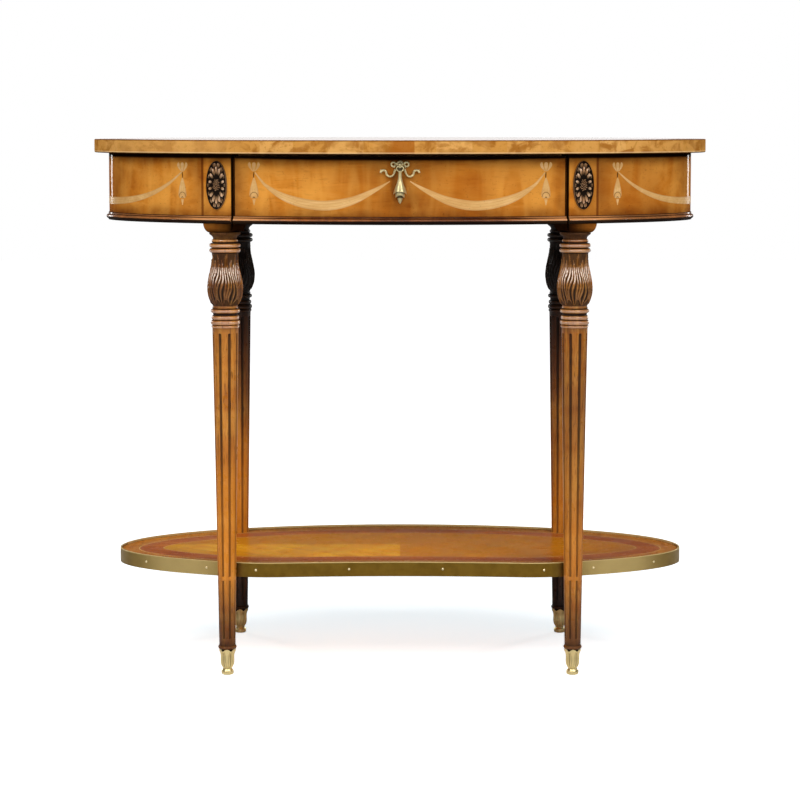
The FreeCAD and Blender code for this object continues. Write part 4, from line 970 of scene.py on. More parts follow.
def castLeaf(vert, dirtAndShading, away, sizes):
    z = vert.co.z
    pitch = 360.0 / sizes["leaves"]
    side = ((math.degrees(math.atan2(away.x, -away.y)) / pitch + 0.5) % 1.0 - 0.5) * 2
    share = (z - sizes["waist"]) / (sizes["rim"] - sizes["waist"])
    rib = hump(side, 0.0, sizes["rib"][0])
    seam = hump(abs(side), 1.0, sizes["seam"][0])
    vein = hump(abs(side), sizes["veinFoot"] + sizes["veinSpread"] * share, sizes["vein"][0])
    fade = min(1.0, share / sizes["fadeFoot"], (sizes["fadeTop"] - share) / sizes["fadeHead"])
    lift = sizes["rib"][1] * rib - sizes["seam"][1] * seam - sizes["vein"][1] * vein
    dirt = (sizes["seamDirt"] * seam + sizes["veinDirt"] * vein) * fade
    vert[dirtAndShading] = min(sizes["mostDirt"], dirt + max(0.0, sizes["neckHigh"] - z) * sizes["neckDirt"])
    vert.co += away.normalized() * (sizes["relief"] * lift * fade)
    if z > sizes["scallopFrom"]:
        rise = (z - sizes["scallopFrom"]) / (sizes["rim"] - sizes["scallopFrom"])
        vert.co.z -= sizes["scallop"] * rise * abs(side) ** sizes["scallopCurve"]


def makeFeet(sizes):
    bm, dirtAndShading = newShape()
    line = sizes["base"] + throughPoints(sizes["cup"], 4) + sizes["lip"]
    for x, y, turn in legPlaces.values():
        before = set(bm.verts)
        spinProfile(bm, line, sizes["steps"], (x, y))
        for vert in freshVerts(bm, before):
            away = Vector((vert.co.x - x, vert.co.y - y, 0))
            if vert.co.z >= sizes["waist"] and away.length >= sizes["core"]:
                castLeaf(vert, dirtAndShading, away, sizes)
    closeUp(bm)
    return finishPiece("feet_cast", bm, [footBrass], "table", ["sabots"])


makeFeet(footSizes)
print("brass feet cast")


# carved oval flowers on the two front blocks

flowerSizes = {
    "centre": 652.5, "width": 29.0, "height": 63.0, "thick": 3.2, "segments": 72,
    "rim": 1.6, "rimEase": 0.5, "rimLow": 0.8, "rimRise": 0.7, "sink": 1.5, "rimDirt": 0.6, "groundShade": 0.99,
    "petals": [
        {"count": 14, "offset": 0.5, "from": 0.55, "to": 0.96, "wide": 2.9, "lift": 1.6, "darkening": 0.85},
        {"count": 14, "offset": 0.0, "from": 0.38, "to": 0.78, "wide": 2.4, "lift": 2.4, "darkening": 0.3}],
    "petalBase": 1.2, "waist": (0.7, 0.3), "groove": 0.35, "grooveWide": 0.25, "tipRise": 0.25, "crown": 0.5,
    "tipLight": 0.8, "grooveDirt": 0.8, "mostDirt": 0.98,
    "seeds": 30, "seedTurn": 137.5, "seedReach": 0.3, "seedRadius": 0.85, "seedHalf": (16.0, 26.0),
    "seedFront": 3.2, "seedDome": 14.0, "seedDirt": (0.9, 0.5),
}


def petalOn(bm, dirtAndShading, petal, index, sizes):
    # one petal laid along the oval's radius
    before = set(bm.verts)
    bmesh.ops.create_uvsphere(bm, u_segments=8, v_segments=6, radius=1.0)
    bearing = math.tau * (index + petal["offset"]) / petal["count"]
    outward = Vector((math.sin(bearing) * sizes["width"] / 2, 0, math.cos(bearing) * sizes["height"] / 2))
    near, far = outward * petal["from"], outward * petal["to"]
    middle, half = (near + far) / 2, (far - near).length / 2
    wayX = outward.normalized()
    wayY = Vector((wayX.z, 0, -wayX.x))
    narrow, flare = sizes["waist"]
    for vert in freshVerts(bm, before):
        u, v, w = vert.co
        groove = sizes["groove"] * hump(v, 0.0, sizes["grooveWide"])
        depth = petal["lift"] * (w * sizes["crown"] + sizes["tipRise"] * (u + 1) - groove)
        # dirt with painted shade on the petal and in its groove; its tip is left pale as a painted highlight
        dirt = petal["darkening"] - sizes["tipLight"] * u + sizes["grooveDirt"] * groove
        vert[dirtAndShading] = max(0.0, min(sizes["mostDirt"], dirt))
        across = v * petal["wide"] * (narrow + flare * u)
        vert.co = middle + wayX * (u * half) + wayY * across + Vector((0, -sizes["petalBase"] - depth, 0))


def flowerGround(bm, dirtAndShading, sizes):
    # dished oval with a rim; its ground is painted near black with shade
    before = set(bm.verts)
    disc = bmesh.ops.create_circle(bm, cap_ends=True, radius=1.0, segments=sizes["segments"],
                                   matrix=Matrix.Rotation(math.pi / 2, 4, "X"))["verts"]
    bmesh.ops.scale(bm, vec=(sizes["width"] / 2, 1, sizes["height"] / 2), verts=disc)
    arris = sizes["rimLow"] - sizes["thick"]
    front = drawOut(bm, [disc[0].link_faces[0]], (0, arris, 0))[1][0]
    insetFace(bm, front, sizes["rimEase"])
    bmesh.ops.translate(bm, vec=(0, -sizes["rimRise"], 0), verts=front.verts)
    insetFace(bm, front, sizes["rim"] - sizes["rimEase"])
    insetFace(bm, front, sizes["rimEase"])
    bmesh.ops.translate(bm, vec=(0, sizes["sink"], 0), verts=front.verts)
    for vert in freshVerts(bm, before):
        vert[dirtAndShading] = sizes["rimDirt"] if abs(vert.co.y - arris) < 0.01 else sizes["groundShade"]


def flowerSeeds(bm, dirtAndShading, sizes):
    wide, high = sizes["seedHalf"]
    for i in range(sizes["seeds"]):
        reach = sizes["seedReach"] * math.sqrt((i + 0.5) / sizes["seeds"])
        turn = i * math.radians(sizes["seedTurn"])
        spot = Vector((math.sin(turn) * reach * wide, sizes["seedDome"] * reach * reach - sizes["seedFront"],
                       math.cos(turn) * reach * high))
        seed = bmesh.ops.create_icosphere(bm, subdivisions=1, radius=sizes["seedRadius"],
                                          matrix=Matrix.Translation(spot))["verts"]
        for vert in seed:
            vert[dirtAndShading] = sizes["seedDirt"][0 if vert.co.y > spot.y else 1]


def makeFlowers(sizes):
    bm, dirtAndShading = newShape()
    for leg in ("front_left", "front_right"):
        before = set(bm.verts)
        flowerGround(bm, dirtAndShading, sizes)
        for petal in sizes["petals"]:
            for i in range(petal["count"]):
                petalOn(bm, dirtAndShading, petal, i, sizes)
        flowerSeeds(bm, dirtAndShading, sizes)
        seat = Matrix.Translation((0, -legSizes["blockDepth"] / 2, sizes["centre"]))
        bmesh.ops.transform(bm, matrix=legFrame(leg) @ seat, verts=freshVerts(bm, before))
    bmesh.ops.recalc_face_normals(bm, faces=bm.faces)
    return finishPiece("flowers_carved", bm, [carvedWood], "table", ["paterae"], sharp=50)


makeFlowers(flowerSizes)
print("oval flowers carved")


# apron walls, drawer front and the bead round the foot

wallSizes = {"ease": 0.5, "drawerEnd": 216.2, "endSeam": 257.4, "backSeam": 219.6, "steps": 96, "backSteps": 80}
# the nose's centre and half height are from the bead's foot; flank and quirk are shares of how proud it is
beadSizes = {"foot": 602.3, "proud": 4.0, "blockProud": 4.4, "inside": 1.5, "nose": 4.3, "noseHalf": 2.9,
             "steps": 12, "flank": 0.3, "quirk": 0.2, "black": 0.97, "litFrom": 0.05, "litRun": 4.0,
             # above the nose: height from the foot, and dirt with painted shade
             "quirkRun": ((7.6, 0.95), (8.1, 0.9)), "filletRun": ((8.4, 0.2), (9.6, 0.1)),
             # against the wall: out, height, and dirt with painted shade
             "headRun": ((0.3, 9.9, 0.95), (0.15, 10.6, 0.95)), "insideShading": 0.9}


def boardProfile(thick, head):
    foot = apron["foot"]
    return [(-thick, foot, 0.0), (0.0, foot, 0.0), (0.0, head, 0.0), (-thick, head, 0.0)]


def beadProfile(sizes, proud):
    # round nose, painted black with shade below and left light above, then a dark quirk of painted shade and a
    # small fillet, as (out, height, dirt and shade)
    foot, flank, quirk = sizes["foot"], proud * sizes["flank"], proud * sizes["quirk"]
    line = [(-sizes["inside"], foot, 1.0), (flank, foot, 1.0)]
    for i in range(sizes["steps"] + 1):
        turn = math.pi * (i / sizes["steps"]) - math.pi / 2
        litShare = max(0.0, turn - sizes["litFrom"]) * sizes["litRun"]
        height = foot + sizes["nose"] + sizes["noseHalf"] * math.sin(turn)
        line.append((flank + (proud - flank) * math.cos(turn), height, max(0.0, sizes["black"] - litShare)))
    line += [(quirk, foot + up, dirt) for up, dirt in sizes["quirkRun"]]
    line += [(flank, foot + up, dirt) for up, dirt in sizes["filletRun"]]
    line += [(out, foot + up, dirt) for out, up, dirt in sizes["headRun"]]
    return line + [(-sizes["inside"], line[-1][1], sizes["insideShading"])]


def wallPiece(name, span, steps, node, body, profile):
    bm, dirtAndShading = newShape()
    ovalSweep(bm, profile, *span, steps)
    closeUp(bm)
    easeEdges(bm, [edge for edge in bm.edges if isArris(edge)], wallSizes["ease"])
    for face in bm.faces:
        spot = face.calc_center_median()
        outward = Vector((spot.x / apron["halfX"] ** 2, spot.y / apron["halfY"] ** 2, 0)).normalized()
        if face.normal.z > 0.5 or face.normal.dot(outward) < -0.8:
            face.material_index = 1
    return finishPiece(name, bm, [apronVeneer, innerWood], body, [node])


def blockBead(bm, leg, sizes):
    front, half = legSizes["blockDepth"] / 2, legSizes["blockWidth"] / 2
    profile = beadProfile(sizes, sizes["blockProud"])
    ring = sectionRing(bm, profile, lambda out, height: (-half, -front - out, height))
    moved = drawOut(bm, [bm.faces.new(ring)], (2 * half, 0, 0))[0]
    bmesh.ops.transform(bm, matrix=legFrame(leg), verts=ring + moved)


def beadPiece(name, span, steps, blocks, node, body="table"):
    bm, dirtAndShading = newShape()
    ovalSweep(bm, beadProfile(beadSizes, beadSizes["proud"]), *span, steps)
    for leg in blocks:
        blockBead(bm, leg, beadSizes)
    closeUp(bm)
    return finishPiece(name, bm, [beadWood], body, [node])


endSeam, backSeam, drawerEnd = wallSizes["endSeam"], wallSizes["backSeam"], wallSizes["drawerEnd"]
steps, backSteps = wallSizes["steps"], wallSizes["backSteps"]
right = (bearingAt(endSeam, -1), bearingAt(endSeam, 1))
left = (bearingAt(-endSeam, 1), math.tau + bearingAt(-endSeam, -1))
back = (bearingAt(backSeam, 1), bearingAt(-backSeam, 1))
drawerSpan = (bearingAt(-drawerEnd, -1), bearingAt(drawerEnd, -1))
wallProfile = boardProfile(apron["wall"], apron["head"])
drawerProfile = boardProfile(apron["drawerWall"], apron["drawerHead"])
wallPiece("apron_right_veneered", right, steps, "apron_end_right", "table", wallProfile)
wallPiece("apron_left_veneered", left, steps, "apron_end_left", "table", wallProfile)
wallPiece("apron_back_veneered", back, backSteps, "apron_back", "table", wallProfile)
wallPiece("drawer_front_veneered", drawerSpan, steps, "drawer_front", "drawer", drawerProfile)
beadPiece("bead_right_turned", right, steps, ("front_right", "rear_right"), "bead_right")
beadPiece("bead_left_turned", left, steps, ("front_left", "rear_left"), "bead_left")
beadPiece("bead_back_turned", back, backSteps, (), "bead_back")
beadPiece("bead_drawer_turned", drawerSpan, steps, (), "drawer_bead", "drawer")
print("apron, drawer front and beads made")


# table top with banded edge, crossband, string and field

topSizes = {"halfX": 416.0, "halfY": 216.0, "foot": 693.0, "head": 711.0, "ease": 1.6, "crossWide": 42.0,
            "stringWide": 1.4, "segments": 288, "underShadow": 0.95, "underShare": 0.6}


def topFace(bm):
    return max(bm.faces, key=lambda face: face.calc_center_median().z + len(face.verts))


def makeTop(sizes):
    bm, dirtAndShading = newShape()
    disc = bmesh.ops.create_circle(bm, cap_ends=True, radius=1.0, segments=sizes["segments"])["verts"]
    bmesh.ops.scale(bm, vec=(sizes["halfX"], sizes["halfY"], 1), verts=disc)
    bmesh.ops.translate(bm, vec=(0, 0, sizes["foot"]), verts=disc)
    drawOut(bm, list(bm.faces), (0, 0, sizes["head"] - sizes["foot"]))
    bmesh.ops.recalc_face_normals(bm, faces=bm.faces)
    easeEdges(bm, [edge for edge in bm.edges if isLevel(edge)], sizes["ease"], segments=3)
    surface = topFace(bm)
    surface.material_index = 1
    insetFace(bm, surface, sizes["crossWide"])
    insetFace(bm, surface, sizes["stringWide"])
    for edge in surface.edges:
        for face in edge.link_faces:
            face.material_index = 2
    surface.material_index = 3
    # painted shadow: the lower arris is painted dark, so that the shade under the top starts on it
    for vert in bm.verts:
        isUnder = vert.co.z < sizes["foot"] + sizes["ease"] * sizes["underShare"]
        vert[dirtAndShading] = sizes["underShadow"] if isUnder else 0.0
    finishes = [edgeVeneer, topCross, topString, topField]
    return finishPiece("top_veneered", bm, finishes, "table", ["table_top"], sharp=50)


makeTop(topSizes)
print("table top made")


# lower shelf: board with strings and bands of veneer, brass band and its pins

shelfSizes = {"halfX": 384.3, "back": 178.7, "shoulder": 150.75, "front": 121.75, "sweep": 1600.0, "foot": 130.0,
              "head": 146.5, "outerWide": 23.0, "redWide": 32.0, "stringWide": 1.5, "edge": 0.01, "legRoom": 12.5,
              "notchDeep": 60.0, "segments": 360, "cornerFront": -90.0, "cornerFrom": 120.0, "cornerTo": 250.0,
              "cornerRounds": 40}


def shelfOutline(bearing, grow=0.0):
    # half ovals behind and in front, with a hollow swept into the front
    sizes = shelfSizes
    deep = (sizes["back"] if math.sin(bearing) > 0 else sizes["shoulder"]) + grow
    x, y = (sizes["halfX"] + grow) * math.cos(bearing), deep * math.sin(bearing)
    if y < 0:
        reach = sizes["sweep"]
        y = max(y, -(sizes["front"] + grow + reach) + math.sqrt(reach * reach - x * x))
    return x, y


def cutNotches(board, sizes):
    bm = bmesh.new()
    radius = sizes["legRoom"] * mm
    for x, y, turn in legPlaces.values():
        bmesh.ops.create_cone(bm, cap_ends=True, segments=48, radius1=radius, radius2=radius,
                              depth=sizes["notchDeep"] * mm,
                              matrix=Matrix.Translation((x * mm, y * mm, sizes["head"] * mm)))
    tool = newObject("notchTool", meshOf(bm, "notchTool"))
    notch = board.modifiers.new("legNotches", "BOOLEAN")
    notch.object = tool
    notch.operation = "DIFFERENCE"
    notch.solver = "EXACT"
    shaped = bpy.data.meshes.new_from_object(board.evaluated_get(bpy.context.evaluated_depsgraph_get()))
    board.modifiers.clear()
    board.data = shaped
    bpy.data.objects.remove(tool)


def makeShelf(sizes):
    bm, dirtAndShading = newShape()
    disc = bmesh.ops.create_circle(bm, cap_ends=True, radius=1.0, segments=sizes["segments"])["verts"]
    for vert in disc:
        vert.co.x, vert.co.y = shelfOutline(math.atan2(vert.co.y, vert.co.x))
        vert.co.z = sizes["foot"]
    corner = [vert for vert in disc if vert.co.y < sizes["cornerFront"]
              and sizes["cornerFrom"] < abs(vert.co.x) < sizes["cornerTo"]]
    for i in range(sizes["cornerRounds"]):
        bmesh.ops.smooth_vert(bm, verts=corner, factor=0.5, use_axis_x=True, use_axis_y=True)
    drawOut(bm, list(bm.faces), (0, 0, sizes["head"] - sizes["foot"]))
    bmesh.ops.recalc_face_normals(bm, faces=bm.faces)
    surface = topFace(bm)
    for wide, index in (("edge", 0), ("outerWide", 1), ("stringWide", 2), ("redWide", 3), ("stringWide", 2)):
        for face in insetFace(bm, surface, sizes[wide]):
            face.material_index = index
    surface.material_index = 0
    finishes = [shelfField, shelfCross, shelfString, shelfRed]
    board = finishPiece("shelf_veneered", bm, finishes, "table", ["shelf_board"])
    cutNotches(board, sizes)
    return board


makeShelf(shelfSizes)


bandSizes = {"ease": 0.5, "segments": 2, "sharp": 50.0, "weld": 0.001, "flat": 0.5}


def copyNode(node, name, finish, body, sizes):
    # the node's own shape with softened edges
    bm = bmesh.new()
    bm.from_mesh(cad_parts[node].data)
    bmesh.ops.remove_doubles(bm, verts=bm.verts, dist=sizes["weld"] * mm)
    bmesh.ops.dissolve_limit(bm, angle_limit=math.radians(sizes["flat"]), verts=bm.verts, edges=bm.edges)
    bm.verts.layers.float.new("dirtAndShading")
    bmesh.ops.scale(bm, vec=(1 / mm, 1 / mm, 1 / mm), verts=bm.verts)
    piece = finishPiece(name, bm, [finish], body, [node])
    soften = piece.modifiers.new("easedEdges", "BEVEL")
    soften.width = sizes["ease"] * mm
    soften.segments = sizes["segments"]
    soften.limit_method = "ANGLE"
    soften.angle_limit = math.radians(sizes["sharp"])
    return piece


for side in ("front", "back", "left", "right"):
    copyNode("band_" + side, "band_" + side + "_brass", bandBrass, "table", bandSizes)

# pins: across at front and back, bearing in degrees round the ends
pinSizes = {"level": 140.0, "radius": 1.7, "dome": 0.9, "out": 2.2, "near": 0.01,
            "front": (-192.0, -68.0, 57.0, 192.0), "ends": (-47.9, -27.0, 12.0, 32.0, 50.0),
            "back": (-150.0, -50.0, 50.0, 150.0)}


def makePins(sizes):
    bm, dirtAndShading = newShape()
    out, wide = sizes["out"], shelfSizes["halfX"] + sizes["out"]
    bearings = [-math.acos(x / wide) for x in sizes["front"]] + [math.acos(x / wide) for x in sizes["back"]]
    for degrees in sizes["ends"]:
        bearings += [math.radians(degrees), math.pi - math.radians(degrees)]
    for bearing in bearings:
        x, y = shelfOutline(bearing, out)
        ahead, behind = (shelfOutline(bearing + near, out) for near in (sizes["near"], -sizes["near"]))
        facing = math.atan2(ahead[1] - behind[1], ahead[0] - behind[0]) - math.pi / 2
        head = bmesh.ops.create_uvsphere(bm, u_segments=12, v_segments=8, radius=1.0)["verts"]
        bmesh.ops.scale(bm, vec=(sizes["dome"], sizes["radius"], sizes["radius"]), verts=head)
        seat = Matrix.Translation((x, y, sizes["level"])) @ Matrix.Rotation(facing, 4, "Z")
        bmesh.ops.transform(bm, matrix=seat, verts=head)
    return finishPiece("band_pins", bm, [pinBrass], "table")


makePins(pinSizes)
print("shelf, band and pins made")


# inlay of swags, tassels and small flowers, let in almost flush

inlaySizes = {
    "proud": 0.18, "sunk": 0.6, "endShare": 0.12, "near": 0.01, "tasselX": 189.3, "tasselHead": 670.5,
    "endRun": 185.0, "endHead": 669.5,
    # swag on the drawer: across, height, width
    "swag": [(188.0, 669.5, 1.4), (181.0, 660.5, 2.6), (173.0, 652.0, 4.2), (154.0, 639.7, 8.8),
             (130.0, 631.2, 12.0), (104.0, 627.2, 12.6), (81.0, 628.6, 12.6), (57.0, 635.2, 9.8),
             (33.0, 646.8, 5.6), (21.0, 653.6, 3.0), (13.0, 658.6, 1.2)],
    "swagRows": 64,
    "endSwag": {"half": 184.0, "low": 628.6, "rise": 40.5, "steep": 4.0, "tip": 1.6, "swell": 8.6, "taper": 2.6,
                "stations": 25, "rows": 96},
    # flower and tassel, downwards; a line is across, height from the tassel's head, width
    "tassel": [
        {"line": [(0.0, 0.2, 1.2), (0.0, 2.0, 2.8), (0.0, 5.0, 4.6), (0.0, 8.6, 5.4), (0.0, 11.0, 4.4),
                  (0.0, 12.2, 1.4)], "rows": 14, "columns": 6, "ends": 1.0},
        {"line": [(1.3, 0.4, 0.8), (3.4, 3.2, 2.0), (5.3, 6.6, 3.6), (6.0, 9.6, 4.2), (5.4, 12.2, 1.2)],
         "rows": 14, "columns": 4, "ends": 1.0, "sides": (1, -1)},
        {"line": [(0.0, -0.6, 0.8), (-0.3, -4.0, 1.3), (-0.5, -8.0, 0.9)], "rows": 8, "columns": 2, "dirt": 0.95},
        {"line": [(0.0, -7.6, 0.8), (0.0, -10.0, 3.4), (0.0, -14.0, 6.0), (0.0, -19.0, 8.8), (0.0, -25.0, 11.4),
                  (0.0, -29.5, 12.4), (0.0, -32.0, 11.6)], "rows": 20, "columns": 8},
        {"line": [(0.0, -26.4, 1.0), (0.0, -27.4, 5.2), (0.0, -29.4, 8.0), (0.0, -32.0, 9.4), (0.0, -34.6, 8.8)],
         "rows": 14, "columns": 8, "proud": 0.1, "ends": 1.0},
        {"line": [(-5.4, -32.6, 0.6), (-3.6, -28.4, 0.9), (0.0, -26.6, 1.1), (3.6, -28.4, 0.9), (5.4, -32.6, 0.6)],
         "rows": 16, "columns": 2, "proud": 0.16, "dirt": 0.6},
        {"line": [(-1.6, -34.2, 0.6), (0.0, -32.8, 1.2), (1.6, -34.2, 0.6)],
         "rows": 8, "columns": 2, "proud": 0.16, "dirt": 0.8},
        {"line": [(0.0, -35.8, 4.4), (0.0, -38.0, 3.6), (0.0, -43.6, 0.8)], "rows": 8, "columns": 4},
    ],
}
runSteps = 4  # steps in each degree of the measured oval
ovalRun = [0.0]
for i in range(1, 180 * runSteps + 1):
    a, b = ovalSpot(math.radians((i - 1) / runSteps))[0], ovalSpot(math.radians(i / runSteps))[0]
    ovalRun.append(ovalRun[-1] + (b - a).length)


def onFront(across, height, out):
    spot, normal = ovalSpot(bearingAt(across, -1))
    return Vector((spot.x + normal.x * out, spot.y + normal.y * out, height))


def onEnd(side):
    # across is measured along the oval from the middle of that end
    def lay(run, height, out):
        steps = next(i for i, length in enumerate(ovalRun) if length >= abs(run))
        if steps:
            steps -= (ovalRun[steps] - abs(run)) / (ovalRun[steps] - ovalRun[steps - 1])
        spot, normal = ovalSpot(math.copysign(math.radians(steps / runSteps), run))
        return Vector((side * (spot.x + normal.x * out), spot.y + normal.y * out, height))
    return lay


def inlayStrip(bm, lay, stations, rows, columns=6, proud=0.0, dirt=0.0, ends=0.0):
    # a flat strip bent along its stations (across, height, width), then let into the face
    across, dirtAndShading = bm.verts.layers.float["across"], bm.verts.layers.float["dirtAndShading"]
    line, near = throughPoints(stations, 8), inlaySizes["near"]

    def at(share):
        step = min(max(share, 0.0), 1.0) * (len(line) - 1)
        first = min(int(step), len(line) - 2)
        return [a + (b - a) * (step - first) for a, b in zip(line[first], line[first + 1])]
    before = set(bm.verts)
    bmesh.ops.create_grid(bm, x_segments=rows, y_segments=columns, size=0.5)
    sheet = [face for face in bm.faces if face.verts[0] not in before]
    upper = set(drawOut(bm, sheet, (0, 0, 0))[0])
    for vert in freshVerts(bm, before):
        share, aside = vert.co.x + 0.5, vert.co.y * 2
        (x, z, width), ahead, behind = at(share), at(share + near), at(share - near)
        way = Vector((ahead[0] - behind[0], ahead[1] - behind[1])).normalized()
        offset = aside * width / 2
        vert[across] = max(abs(aside), ends * (1.0 - min(share, 1.0 - share) / inlaySizes["endShare"]))
        vert[dirtAndShading] = dirt
        out = inlaySizes["proud"] + proud if vert in upper else -inlaySizes["sunk"]
        vert.co = lay(x - way.y * offset, z + way.x * offset, out)


def swagOnEnd(bm, side, swag):
    stations = []
    for i in range(swag["stations"]):
        place = 2 * i / (swag["stations"] - 1) - 1
        width = swag["tip"] + swag["swell"] * (1.0 - abs(place) ** swag["taper"])
        stations.append((swag["half"] * place, swag["low"] + swag["rise"] * abs(place) ** swag["steep"], width))
    inlayStrip(bm, onEnd(side), stations, swag["rows"])


def hangTassel(bm, lay, at, head):
    for part in inlaySizes["tassel"]:
        for side in part.get("sides", (1,)):
            line = [(at + side * x, head + z, width) for x, z, width in part["line"]]
            inlayStrip(bm, lay, line, part["rows"], part["columns"], part.get("proud", 0.0), part.get("dirt", 0.0),
                       part.get("ends", 0.0))


def inlayPiece(name, body, lines):
    bm, dirtAndShading = newShape()
    bm.verts.layers.float.new("across")
    for side in (-1, 1):
        lines(bm, side)
    closeUp(bm)
    return finishPiece(name, bm, [paleInlay], body, sharp=60)


def drawerLines(bm, side):
    line = [(side * x, z, width) for x, z, width in inlaySizes["swag"]]
    inlayStrip(bm, onFront, line, inlaySizes["swagRows"])
    hangTassel(bm, onFront, side * inlaySizes["tasselX"], inlaySizes["tasselHead"])


def endLines(bm, side):
    swagOnEnd(bm, side, inlaySizes["endSwag"])
    for place in (-1, 1):
        hangTassel(bm, onEnd(side), place * inlaySizes["endRun"], inlaySizes["endHead"])


inlayPiece("inlay_drawer", "drawer", drawerLines)
inlayPiece("inlay_apron", "table", endLines)
print("inlay laid")


# cast pull: ribbon bow with a boss, and a bell drop on its eye

bowSizes = {
    "level": 677.5, "face": -196.5, "ribbonSides": 12, "stepTurn": 12, "fewestSteps": 3,
    "ribbonOut": 2.4, "ribbonShading": 0.75, "ribbonBack": 0.5,
    # right half of the ribbon: start (across, height, heading), arcs (radius, sweep), width, depth
    "ribbons": [((5.8, 3.0, 90), [(2.7, -350)], 2.3, 2.6),  # loop
                ((6.3, 1.6, -66), [(30.0, 6)], 1.6, 2.2),  # the loop's tail
                ((6.1, -3.4, -76), [(60.0, 6), (5.0, 152), (60.0, -1), (3.3, -112), (6.0, -36)],
                 2.7, 2.6),  # trail
                ((21.6, -4.9, 0), [(16.0, 14)], 1.5, 1.8)],  # upper fork of its end
    "peg": [(0.0, 0.0), (5.4, 0.0), (5.4, 1.4), (4.4, 2.4), (1.1, 2.8), (1.0, 11.4), (0.7, 12.0), (0.0, 12.0)],
    "pegSteps": 32, "pegDrop": 2.3, "pegShading": 0.9,
    "hoodWide": 5.6, "hoodDeep": 4.6, "hoodHigh": 5.3, "hoodLow": 2.6, "hoodOut": 2.6, "hoodLift": 3.0,
    "hoodPoint": 0.35, "hoodRim": 0.2, "rimTop": 0.6, "dish": 1.5, "dishHalf": (0.62, 0.6), "dishAt": (0.0, 0.1),
    "dishDirt": 0.75, "dishEdge": 0.15, "ball": 1.7, "ballOut": 6.0, "ballLift": 2.2,
}
dropSizes = {
    "pivot": -206.2, "eyeLevel": 675.0, "eyeWide": 4.6, "eyeHigh": 3.5, "wire": 0.85, "steps": 72, "budSteps": 48,
    "head": (0.0, 672.4),
    "husk": [(2.2, 672.2), (2.25, 668.0), (2.5, 663.0), (3.6, 658.0), (5.5, 653.0), (7.3, 648.6), (8.4, 645.2),
             (8.6, 643.6)],
    "huskInside": [(8.0, 643.4), (6.8, 645.6), (5.8, 649.0), (0.0, 649.4)], "insideShading": 0.9,
    # the tier and bud are darker underneath, and the husk inside, with painted shade
    "tier": [(0.0, 648.0), (4.6, 647.6), (5.8, 644.6), (6.1, 641.4), (5.9, 639.4), (5.2, 638.8), (4.2, 640.6),
             (3.4, 643.0), (0.0, 643.4)],
    "tierShading": [0.9, 0.9, 0.6, 0.1, 0.0, 0.4, 0.95, 0.95, 0.95],
    "bud": [(0.0, 643.0), (2.8, 642.4), (3.5, 639.6), (3.4, 636.8), (2.6, 633.8), (1.5, 631.6), (0.8, 630.6),
            (0.0, 630.4)],
    "budShading": [0.9] * 9 + [0.3] * 14,
    # the lower edges rise to a point at front and back; seams run down the husk
    "arch": 3.4, "archMiddle": 0.4, "archCurve": 1.5, "archFrom": 4.0, "archRun": (650.0, 644.0),
    "seam": 0.5, "seamAbove": 645.0, "seamRun": (670.0, 654.0), "seamWide": 8.0, "sideSeam": 0.5, "sideTurn": 42.0,
    "sideWide": 9.0, "seamDirt": 0.7, "core": 0.4,
}


def tube(bm, sizes, start, moves, wide, deep):
    # a cast ribbon: an oval section swung round a row of arcs in the plane of the drawer face
    section = bmesh.ops.create_circle(bm, cap_ends=True, radius=1.0, segments=sizes["ribbonSides"],
                                      matrix=Matrix.Rotation(math.pi / 2, 4, "Y"))["verts"]
    x, z, heading = start
    bmesh.ops.scale(bm, vec=(1, deep / 2, wide / 2), verts=section)
    bmesh.ops.rotate(bm, cent=(0, 0, 0), matrix=Matrix.Rotation(-math.radians(heading), 3, "Y"), verts=section)
    bmesh.ops.translate(bm, vec=(x, 0, z), verts=section)
    geom = section + list({edge for vert in section for edge in vert.link_edges})
    for radius, sweep in moves:
        side = math.copysign(1, sweep)
        way = math.radians(heading + 90 * side)
        centre = (x + radius * math.cos(way), 0, z + radius * math.sin(way))
        count = max(sizes["fewestSteps"], int(abs(sweep) / sizes["stepTurn"]))
        spun = bmesh.ops.spin(bm, geom=geom, cent=centre, axis=(0, -1, 0), angle=math.radians(sweep), steps=count)
        geom = [item for item in spun["geom_last"] if not isinstance(item, bmesh.types.BMFace)]
        heading += sweep
        reach = math.radians(heading + 90 * side)
        x, z = centre[0] - radius * math.cos(reach), centre[2] - radius * math.sin(reach)
    bmesh.ops.contextual_create(bm, geom=only(geom, bmesh.types.BMEdge))


def makeHood(bm, dirtAndShading, sizes):
    # pointed hood over the eye, dished in front
    hood = bmesh.ops.create_uvsphere(bm, u_segments=32, v_segments=24, radius=1.0)["verts"]
    for vert in hood:
        x, y, z = vert.co
        top = max(0.0, z)
        off = [(value - at) / half for value, at, half in zip((x, z), sizes["dishAt"], sizes["dishHalf"])]
        dish = sizes["dish"] * max(0.0, 1.0 - off[0] ** 2 - off[1] ** 2) if y < 0 else 0.0
        vert[dirtAndShading] = sizes["dishDirt"] if dish > sizes["dishEdge"] else 0.0
        high = z * sizes["hoodHigh" if z > 0 else "hoodLow"] + sizes["hoodRim"] * (abs(x) + sizes["rimTop"] * top)
        across = x * sizes["hoodWide"] * (1.0 - sizes["hoodPoint"] * top)
        vert.co = Vector((across, y * sizes["hoodDeep"] + dish, high))
    seat = (0, sizes["face"] - sizes["hoodOut"], sizes["level"] + sizes["hoodLift"])
    bmesh.ops.translate(bm, vec=seat, verts=hood)


